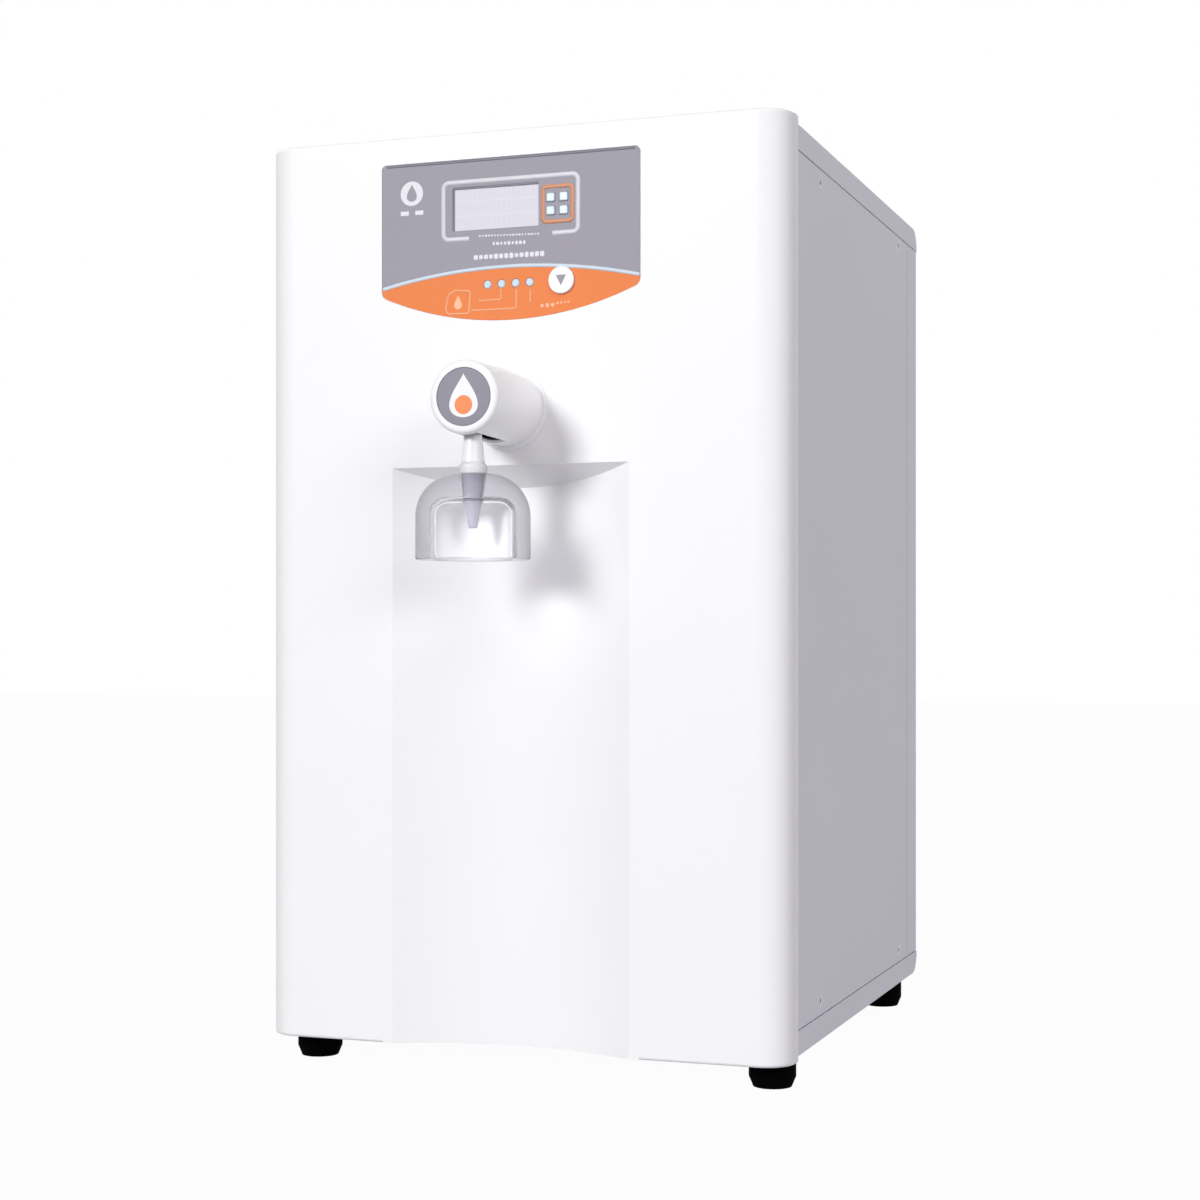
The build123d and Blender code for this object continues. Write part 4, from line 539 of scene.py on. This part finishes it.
def growPiece(name, holder, tree, **inputs):
    modifier = holder.modifiers.new(tree.name, "NODES")
    modifier.node_group = tree
    values = {label.replace("_", " "): value for label, value in inputs.items()}
    for item in tree.interface.items_tree:
        if item.item_type == "SOCKET" and item.in_out == "INPUT" and item.name in values:
            modifier[item.identifier] = values[item.name]
    bpy.context.view_layer.update()
    evaluated = holder.evaluated_get(bpy.context.evaluated_depsgraph_get())
    mesh = bpy.data.meshes.new_from_object(evaluated)
    bpy.data.objects.remove(holder)
    return linkObject(name, mesh)


def raiseOutline(tree, enter, outline, thickness):
    rise = addNode(tree, "ShaderNodeCombineXYZ")
    stem = addNode(tree, "GeometryNodeCurvePrimitiveLine")
    solid = addNode(tree, "GeometryNodeCurveToMesh", {"Fill Caps": True})
    wire(tree, (enter, thickness, rise, "Z"), (rise, 0, stem, "End"), (stem, 0, solid, "Curve"),
         (outline, 0, solid, "Profile Curve"))
    return solid


# Printed lines: a flat curve swept by a thin strip, laid on the label
def makeLineTree():
    tree, enter = startTree("printedLine", Width=0.001, Thickness=0.00006, Corner_Radius=0.002)
    rounded = addNode(tree, "GeometryNodeFilletCurve", {"Count": 6}, mode="POLY")
    upright = addNode(tree, "GeometryNodeSetCurveNormal", mode="Z_UP")
    strip = addNode(tree, "GeometryNodeCurvePrimitiveQuadrilateral")
    swept = addNode(tree, "GeometryNodeCurveToMesh", {"Fill Caps": True})
    wire(tree, (enter, "Geometry", rounded, "Curve"), (enter, "Corner Radius", rounded, "Radius"),
         (rounded, 0, upright, 0), (enter, "Width", strip, "Width"), (enter, "Thickness", strip, "Height"),
         (upright, 0, swept, "Curve"), (strip, 0, swept, "Profile Curve"))
    return endTree(tree, enter, swept)


lineTree = makeLineTree()
labelTilt = Matrix.Rotation(math.radians(90), 4, "X")
printThickness = 0.06


def drawPaths(name, paths, closed):
    curve = bpy.data.curves.new(name, "CURVE")
    curve.dimensions = "3D"
    for path in paths:
        spline = curve.splines.new("POLY")
        spline.points.add(len(path) - 1)
        for point, (x, z) in zip(spline.points, path):
            point.co = (x * mm, z * mm, 0, 1)
        spline.use_cyclic_u = closed
    return linkObject(name, curve)


def printLine(name, paths, width, finish, faceY, closed=False, corner=2.0, thickness=printThickness,
              body="cabinet"):
    piece = growPiece(name, drawPaths(name, paths, closed), lineTree, Width=width * mm,
                      Thickness=thickness * mm, Corner_Radius=corner * mm, Finish=materials[finish])
    piece.data.transform(Matrix.Translation((0, faceY - thickness * mm / 2, 0)) @ labelTilt)
    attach(piece, body)
    return piece


# Rows of small marks that stand where the real label has captions
def makeDashTree():
    tree, enter = startTree("dashRow", Pitch=0.003, Length=0.002, Height=0.002, Thickness=0.00006, Shortest=0.5,
                            Seed=4)
    spaced = addNode(tree, "GeometryNodeResampleCurve", mode="LENGTH")
    outline = addNode(tree, "GeometryNodeCurvePrimitiveQuadrilateral")
    rounded = addNode(tree, "GeometryNodeFilletCurve", {"Count": 2}, mode="POLY")
    tree.links.new(addMath(tree, "MULTIPLY", enter.outputs["Height"], 0.25), rounded.inputs["Radius"])
    lowest = addNode(tree, "ShaderNodeCombineXYZ", {"Y": 0.7, "Z": 1.0})
    vary = addNode(tree, "FunctionNodeRandomValue", {"Max": (1, 1, 1)}, data_type="FLOAT_VECTOR")
    placed = addNode(tree, "GeometryNodeInstanceOnPoints")
    wire(tree, (enter, "Geometry", spaced, "Curve"), (enter, "Pitch", spaced, "Length"),
         (enter, "Length", outline, "Width"), (enter, "Height", outline, "Height"), (outline, 0, rounded, "Curve"),
         (enter, "Shortest", lowest, "X"), (lowest, 0, vary, "Min"), (enter, "Seed", vary, "Seed"),
         (spaced, 0, placed, "Points"), (raiseOutline(tree, enter, rounded, "Thickness"), 0, placed, "Instance"),
         (vary, "Value", placed, "Scale"))
    return endTree(tree, enter, placed)


dashTree = makeDashTree()


def printDashes(name, look, finish, faceY):
    piece = growPiece(name, drawPaths(name, [look["path"]], False), dashTree, Pitch=look["pitch"] * mm,
                      Length=look["length"] * mm, Height=look["height"] * mm, Thickness=printThickness * mm,
                      Shortest=look["shortest"], Seed=look["seed"], Finish=materials[finish])
    piece.data.transform(Matrix.Translation((0, faceY, 0)) @ labelTilt)
    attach(piece, "cabinet")
    return piece


def printShape(name, outline, finish, faceY, thickness=printThickness, body="cabinet"):
    mesh = bpy.data.meshes.new(name)
    sheet = bmesh.new()
    back = [sheet.verts.new((x * mm, faceY, z * mm)) for x, z in outline]
    front = [sheet.verts.new((x * mm, faceY - thickness * mm, z * mm)) for x, z in outline]
    sheet.faces.new(back)
    sheet.faces.new(list(reversed(front)))
    for here in range(len(outline)):
        ahead = (here + 1) % len(outline)
        sheet.faces.new((back[here], front[here], front[ahead], back[ahead]))
    bmesh.ops.recalc_face_normals(sheet, faces=sheet.faces)
    sheet.to_mesh(mesh)
    sheet.free()
    mesh.materials.append(materials[finish])
    piece = linkObject(name, mesh)
    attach(piece, body)
    return piece


# taper draws the drop to a point at its top, narrow holds it a little inside its width
dropSettings = {"taper": 1.5, "narrow": 0.78}


def dropOutline(x, z, width, height, steps=48):
    points = []
    for step in range(steps):
        turn = 2 * math.pi * (step + 0.5) / steps
        across = math.sin(turn) * math.sin(turn / 2) ** dropSettings["taper"] / dropSettings["narrow"]
        points.append((x + across * width / 2, z + math.cos(turn) * height / 2))
    return points


def roundOutline(x, z, radius, steps=48):
    return [(x + radius * math.cos(2 * math.pi * step / steps), z + radius * math.sin(2 * math.pi * step / steps))
            for step in range(steps)]


def arcBetween(left, right, rise, steps):
    (x0, z0), (x1, z1) = left, right
    half = (x1 - x0) / 2
    radius = (half**2 + rise**2) / (2 * rise)
    middle = (x0 + x1) / 2
    points = []
    for step in range(steps + 1):
        x = x0 + (x1 - x0) * step / steps
        drop = radius - math.sqrt(radius**2 - (x - middle) ** 2)
        base = z0 + (z1 - z0) * step / steps
        points.append((x, base + rise - drop))
    return points


# Frame round the display and keys, open below; x and z in mm
windowSettings = {"frame": (-48.2, 41.0, 501.6, 538.6), "openFrom": -30.0, "openTo": 23.5, "line": 2.8,
                  "shadeLine": 1.7}
left, right, low, high = windowSettings["frame"]
inset = windowSettings["line"] / 2
printLine("displayFrameLine",
          [[(windowSettings["openFrom"], low + inset), (left + inset, low + inset), (left + inset, high - inset),
            (right - inset, high - inset), (right - inset, low + inset), (windowSettings["openTo"], low + inset)]],
          windowSettings["line"], "printPale", labelFace, corner=3.5)
# dark line on the display window's left and top: painted shadow of the window's recess
shadeInset = windowSettings["shadeLine"] / 2
shadeX, shadeZ = windowLow.x / mm - shadeInset, windowHigh.z / mm + shadeInset
printLine("displayShadeLine", [[(shadeX, windowLow.z / mm), (shadeX, shadeZ), (windowHigh.x / mm, shadeZ)]],
          windowSettings["shadeLine"], "paintedRecessShade", labelFace, corner=0.6)

keyBoxSettings = {"frame": (16.2, 37.4, 508.6, 532.0), "line": 2.6}
left, right, low, high = keyBoxSettings["frame"]
inset = keyBoxSettings["line"] / 2
printLine("keyBoxLine",
          [[(left + inset, low + inset), (right - inset, low + inset), (right - inset, high - inset),
            (left + inset, high - inset)]],
          keyBoxSettings["line"], "printCopper", labelFace, closed=True, corner=2.2)

# Painted shadow along the label's top, where the label sits in its recess, and the pale line where grey meets orange
topShadeSettings = {"line": 1.5, "cornerRoom": 3.0, "below": 0.1}
topShadeZ = overlayHigh.z / mm - topShadeSettings["line"] / 2 - topShadeSettings["below"]
topShadeRoom = topShadeSettings["cornerRoom"]
printLine("labelTopShadeLine", [[(overlayLow.x / mm + topShadeRoom, topShadeZ), (overlayHigh.x / mm - topShadeRoom, topShadeZ)]],
          topShadeSettings["line"], "paintedRecessShade", labelFace, corner=0.0)
bandSettings = {"endZ": 475.5, "crown": 9.5, "line": 2.2, "half": 82.2}
printLine("bandLine",
          [arcBetween((labelX - bandSettings["half"], bandSettings["endZ"]),
                      (labelX + bandSettings["half"], bandSettings["endZ"]), bandSettings["crown"], 48)],
          bandSettings["line"], "printBlue", labelFace, corner=0.0, thickness=0.08)

# Caption rows: ends of each row's middle line and the marks' sizes
captionSettings = {
    "captionSmall": {"path": [(-23.0, 504.2), (14.4, 503.2)], "pitch": 1.9, "length": 1.7, "height": 1.2,
                     "shortest": 0.5, "seed": 3},
    "captionMiddle": {"path": [(-14.0, 499.1), (5.6, 498.7)], "pitch": 2.2, "length": 2.0, "height": 2.3,
                      "shortest": 0.6, "seed": 5},
    "captionLarge": {"path": [(-25.6, 491.5), (17.0, 491.3)], "pitch": 3.05, "length": 2.8, "height": 3.4,
                     "shortest": 0.82, "seed": 9},
}
for captionName, captionLook in captionSettings.items():
    printDashes(captionName, captionLook, "printPale", labelFace)

# Water mark on the left: a pale disk with a grey drop, and two short marks under it
waterSettings = {"x": -67.6, "z": 532.6, "radius": 7.4, "drop": (7.4, 10.4), "dropLift": 0.4, "below": 520.8,
                 "mark": (5.4, 2.6), "offsets": (("Left", -4.7), ("Right", 4.9))}
printShape("waterDisk", roundOutline(waterSettings["x"], waterSettings["z"], waterSettings["radius"]),
           "printPale", labelFace)
printShape("waterDrop",
           dropOutline(waterSettings["x"], waterSettings["z"] + waterSettings["dropLift"], *waterSettings["drop"]),
           "labelGrey", labelFace, thickness=0.1)
halfWide, halfHigh = waterSettings["mark"][0] / 2, waterSettings["mark"][1] / 2
for side, offset in waterSettings["offsets"]:
    x, z = waterSettings["x"] + offset, waterSettings["below"]
    printShape(f"waterMark{side}",
               [(x - halfWide, z - halfHigh), (x + halfWide, z - halfHigh), (x + halfWide, z + halfHigh),
                (x - halfWide, z + halfHigh)], "printPale", labelFace)

# Flow diagram on the orange band
flowSettings = {"line": 0.8, "iconLine": 0.9}
printLine("flowLines",
          [[(-9.4, 472.9), (-9.4, 465.5), (-24.0, 465.5)],
           [(0.4, 471.1), (0.4, 459.8), (-28.5, 459.8)],
           [(9.4, 470.6), (9.4, 462.9)]],
          flowSettings["line"], "printPeach", bandLow.y, corner=1.0)
printLine("flowTank",
          [[(-45.4, 460.8), (-43.4, 470.4), (-38.6, 472.4), (-29.2, 471.6), (-30.2, 458.2), (-43.6, 458.4)]],
          flowSettings["iconLine"], "printPeach", bandLow.y, closed=True, corner=1.6)
printShape("flowTankDrop", dropOutline(-37.2, 465.2, 5.4, 8.4), "printPeach", bandLow.y)
flowCaptions = {
    "flowCaptionLeft": {"path": [(17.0, 460.4), (23.6, 460.6)], "pitch": 2.6, "length": 2.2, "height": 2.5,
                        "shortest": 0.8, "seed": 2},
    "flowCaptionRight": {"path": [(26.8, 461.4), (33.6, 461.8)], "pitch": 2.2, "length": 1.6, "height": 1.4,
                         "shortest": 0.6, "seed": 6},
}
for captionName, captionLook in flowCaptions.items():
    printDashes(captionName, captionLook, "printPeach", bandLow.y)
print("purifier: label prints ready")

# Marks on the button and on the tap's badge
buttonLow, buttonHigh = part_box("dispense_button")
buttonSettings = {"half": 3.3, "top": 3.0, "tip": 3.4}
buttonX = (buttonLow.x + buttonHigh.x) / 2 / mm
buttonZ = (buttonLow.z + buttonHigh.z) / 2 / mm
printShape("buttonMark",
           [(buttonX - buttonSettings["half"], buttonZ + buttonSettings["top"]),
            (buttonX + buttonSettings["half"], buttonZ + buttonSettings["top"]),
            (buttonX, buttonZ - buttonSettings["tip"])],
           "badgeGrey", buttonLow.y, body="button")

badgeLow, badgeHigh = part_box("tap_badge")
badgeSettings = {"white": (19.5, 25.0), "lift": 0.8, "orange": 5.4, "orangeDrop": -4.6}
badgeX = (badgeLow.x + badgeHigh.x) / 2 / mm
badgeZ = (badgeLow.z + badgeHigh.z) / 2 / mm
printShape("badgeDrop", dropOutline(badgeX, badgeZ + badgeSettings["lift"], *badgeSettings["white"]),
           "printWhite", badgeLow.y)
printShape("badgeDropHeart", roundOutline(badgeX, badgeZ + badgeSettings["orangeDrop"], badgeSettings["orange"]),
           "badgeOrange", badgeLow.y, thickness=0.12)
print("purifier: button and badge marks ready")


# Bell, a white sheet in its rear half that stands in for the bright highlights inside the bell, and the collar:
# profiles swept round the tap's axis
def makeRingTree():
    tree, enter = startTree("sweptRing", Ring_Radius=0.02, Start=0.0, Sweep=math.pi, Steps=96, Closed=False)
    ring = addNode(tree, "GeometryNodeCurvePrimitiveCircle")
    arc = addNode(tree, "GeometryNodeCurveArc")
    picked = addNode(tree, "GeometryNodeSwitch", input_type="GEOMETRY")
    upright = addNode(tree, "GeometryNodeSetCurveNormal", mode="Z_UP")
    swept = addNode(tree, "GeometryNodeCurveToMesh", {"Fill Caps": True})
    for curveNode in (ring, arc):
        wire(tree, (enter, "Steps", curveNode, "Resolution"), (enter, "Ring Radius", curveNode, "Radius"))
    wire(tree, (enter, "Start", arc, "Start Angle"), (enter, "Sweep", arc, "Sweep Angle"),
         (enter, "Closed", picked, "Switch"), (arc, 0, picked, "False"), (ring, 0, picked, "True"),
         (picked, 0, upright, 0), (upright, 0, swept, "Curve"), (enter, "Geometry", swept, "Profile Curve"))
    return endTree(tree, enter, swept)


ringTree = makeRingTree()
sweepSettings = {"ringRadius": 20.0, "weld": 0.002, "sharp": 32}


def cornerArc(centreX, centreZ, radius, fromAngle, toAngle, steps):
    points = []
    for step in range(steps + 1):
        angle = math.radians(fromAngle + (toAngle - fromAngle) * step / steps)
        points.append((centreX + radius * math.cos(angle), centreZ + radius * math.sin(angle)))
    return points


def sweepRound(name, profile, top, axis, finish, body, steps=96, part=None):
    ringRadius = sweepSettings["ringRadius"]
    # the sweep lays a profile's second axis downwards
    holder = drawPaths(name, [[(radius - ringRadius, -z) for radius, z in profile]], True)
    start, sweep = part or (0, 180)
    piece = growPiece(name, holder, ringTree, Ring_Radius=ringRadius * mm, Steps=steps, Closed=part is None,
                      Start=math.radians(start), Sweep=math.radians(sweep), Finish=materials[finish])
    mesh = piece.data
    reach = max(math.hypot(vertex.co.x, vertex.co.y) for vertex in mesh.vertices) / mm
    assert abs(reach - max(radius for radius, z in profile)) < 0.1, (name, reach)
    mesh.transform(Matrix.Translation((axis[0], axis[1], top)))
    shell = bmesh.new()
    shell.from_mesh(mesh)
    bmesh.ops.remove_doubles(shell, verts=shell.verts, dist=sweepSettings["weld"] * mm)
    bmesh.ops.recalc_face_normals(shell, faces=shell.faces)
    if shell.calc_volume(signed=True) < 0:
        bmesh.ops.reverse_faces(shell, faces=shell.faces)
    shell.to_mesh(mesh)
    shell.free()
    mesh.shade_smooth()
    mesh.set_sharp_from_angle(angle=math.radians(sweepSettings["sharp"]))
    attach(piece, body)
    return piece


bellLow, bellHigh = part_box("dispensing_bell")
collarLow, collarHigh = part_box("bell_collar")
bellAxis = ((bellLow.x + bellHigh.x) / 2, (bellLow.y + bellHigh.y) / 2)
bellSettings = {"shoulder": 24.5, "wall": 10.5, "roof": 14.8, "corner": 8.5, "lip": 1.2, "boreTop": 8.05,
                "boreRoof": 5.4}
outer = (bellHigh.x - bellLow.x) / 2 / mm
tall = (bellHigh.z - bellLow.z) / mm
cavity = outer - bellSettings["wall"]
shoulder, lip, corner, roof = (bellSettings[key] for key in ("shoulder", "lip", "corner", "roof"))
bellProfile = [(bellSettings["boreTop"], 0.0)]
bellProfile += cornerArc(outer - shoulder, -shoulder, shoulder, 90, 0, 28)
bellProfile += cornerArc(outer - lip, -tall + lip, lip, 0, -90, 6)
bellProfile += cornerArc(cavity + lip, -tall + lip, lip, -90, -180, 6)
bellProfile += cornerArc(cavity - corner, -roof - corner, corner, 0, 90, 14)
bellProfile += [(bellSettings["boreRoof"], -roof)]
bell = sweepRound("clearBell", bellProfile, bellHigh.z, bellAxis, "clearAcrylic", "lever")
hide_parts("dispensing_bell")

# white sheet behind the nozzle: painted highlight for the bright patches inside the bell
highlightSheetSettings = {"gap": 0.1, "thick": 0.8, "endGap": 1.6, "holeGap": 0.6, "start": 8.0, "sweep": 196.0}
gap, thick = highlightSheetSettings["gap"], highlightSheetSettings["thick"]
highlightSheetLow = -tall + highlightSheetSettings["endGap"]
highlightSheetHole = bellSettings["boreRoof"] + highlightSheetSettings["holeGap"]
highlightSheetProfile = [(cavity - gap, highlightSheetLow)]
highlightSheetProfile += cornerArc(cavity - corner, -roof - corner, corner - gap, 0, 90, 14)
highlightSheetProfile += [(highlightSheetHole, -roof - gap), (highlightSheetHole, -roof - gap - thick)]
highlightSheetProfile += cornerArc(cavity - corner, -roof - corner, corner - gap - thick, 90, 0, 14)
highlightSheetProfile += [(cavity - gap - thick, highlightSheetLow)]
sweepRound("bellHighlightSheet", highlightSheetProfile, bellHigh.z, bellAxis, "highlightSheetWhite", "lever",
           part=(highlightSheetSettings["start"], highlightSheetSettings["sweep"]))

collarSettings = {"hole": 5.3, "topRadius": 6.6, "round": 3.0, "roundBelow": 0.25, "roundFrom": 58, "lip": 0.5}
collarOuter = (collarHigh.x - collarLow.x) / 2 / mm
collarTall = (collarHigh.z - collarLow.z) / mm
collarRound, collarLip = collarSettings["round"], collarSettings["lip"]
collarProfile = [(collarSettings["hole"], 0.0), (collarSettings["topRadius"], 0.0)]
collarProfile += cornerArc(collarOuter - collarRound, -collarRound - collarSettings["roundBelow"], collarRound,
                           collarSettings["roundFrom"], 0, 8)
collarProfile += cornerArc(collarOuter - collarLip, -collarTall + collarLip, collarLip, 0, -90, 4)
collarProfile += [(collarSettings["hole"], -collarTall)]
collar = sweepRound("collarRing", collarProfile, collarHigh.z, bellAxis, "collarPlastic", "lever",
                    steps=64)
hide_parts("bell_collar")

# Return spring: a copy of the same leaf, in place of the CAD node
leafMesh = nodes["return_spring"].data.copy()
leafMesh.transform(nodes["return_spring"].matrix_world)
leaf = linkObject("leafSpring", leafMesh)
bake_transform(leaf)
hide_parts("return_spring")
print("purifier: bell and collar swept")


# Cross drives on the screws in the side panels and the rear cover: thin dark stars laid on the heads, painted shade
# of the recesses
def makeDriveTree():
    tree, enter = startTree("crossDrive", Across=0.0036, Waist=0.0008, Depth=0.00008)
    star = addNode(tree, "GeometryNodeCurveStar", {"Points": 4})
    for label, radius in (("Across", "Outer Radius"), ("Waist", "Inner Radius")):
        tree.links.new(addMath(tree, "MULTIPLY", enter.outputs[label], 0.5), star.inputs[radius])
    placed = addNode(tree, "GeometryNodeInstanceOnPoints")
    wire(tree, (enter, "Geometry", placed, "Points"),
         (raiseOutline(tree, enter, star, "Depth"), 0, placed, "Instance"))
    return endTree(tree, enter, placed)


driveTree = makeDriveTree()


def addDrives(name, places, turn, face, settings):
    mesh = bpy.data.meshes.new(name)
    mesh.from_pydata([(first * mm, second * mm, 0) for first, second in places], [], [])
    across = settings["across"]
    piece = growPiece(name, linkObject(name, mesh), driveTree, Across=across * mm,
                      Waist=across * settings["waist"] * mm, Finish=materials["driveRecessShade"])
    piece.data.transform(Matrix.Translation(face) @ turn)
    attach(piece, "cabinet")
    return piece


driveSettings = {"across": 4.0, "waist": 0.26,
                 "side": [(-73.3, 538.5), (157.4, 540.5), (-73.3, 44.5), (157.4, 44.0)],
                 "rear": [(-156.7, 47.8), (156.7, 47.8), (-156.7, 291.0), (156.7, 291.0), (-156.7, 534.2),
                          (156.7, 534.2)]}
screwLow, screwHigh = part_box("side_panel_screws")
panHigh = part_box("pan_screws")[1]
# the tree lays its crosses flat, so each set is turned to face out of its panel
rightTurn = Matrix(((0, 0, 1, 0), (1, 0, 0, 0), (0, 1, 0, 0), (0, 0, 0, 1)))
leftTurn = Matrix(((0, 0, -1, 0), (-1, 0, 0, 0), (0, 1, 0, 0), (0, 0, 0, 1)))
rearTurn = Matrix(((-1, 0, 0, 0), (0, 0, 1, 0), (0, 1, 0, 0), (0, 0, 0, 1)))
addDrives("sideDrivesRight", driveSettings["side"], rightTurn, (screwHigh.x, 0, 0), driveSettings)
addDrives("sideDrivesLeft", [(-y, z) for y, z in driveSettings["side"]], leftTurn, (screwLow.x, 0, 0),
          driveSettings)
addDrives("rearDrives", driveSettings["rear"], rearTurn, (0, panHigh.y, 0), driveSettings)

# I and O on the mains rocker, laid on its two sloping faces
rockerLow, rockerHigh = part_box("power_rocker")
rockerSettings = {"z": 112.0, "rise": 5.2, "ring": 1.7, "bar": 1.9, "line": 0.6, "rayFrom": 0.3}
rockerX, rockerZ = (rockerLow.x + rockerHigh.x) / 2 / mm, rockerSettings["z"]
outlineO = roundOutline(rockerX, rockerZ - rockerSettings["rise"], rockerSettings["ring"], 32)
barZ = rockerZ + rockerSettings["rise"]
outlineI = [(rockerX, barZ - rockerSettings["bar"]), (rockerX, barZ), (rockerX, barZ + rockerSettings["bar"])]
for markName, markPath, isRing in (("rockerMarkOff", outlineO, True), ("rockerMarkOn", outlineI, False)):
    mark = printLine(markName, [markPath], rockerSettings["line"], "printWhite", 0.0, closed=isRing, corner=0.0,
                     body="rocker")
    for vertex in mark.data.vertices:
        start = Vector((vertex.co.x, rockerSettings["rayFrom"], vertex.co.z))
        spot = nodes["power_rocker"].ray_cast(start, Vector((0, -1, 0)))[1]
        vertex.co.y = spot.y - vertex.co.y
    turned = bmesh.new()
    turned.from_mesh(mark.data)
    bmesh.ops.recalc_face_normals(turned, faces=turned.faces)
    turned.to_mesh(mark.data)
    turned.free()
print("purifier: screw drives and rocker marks ready")
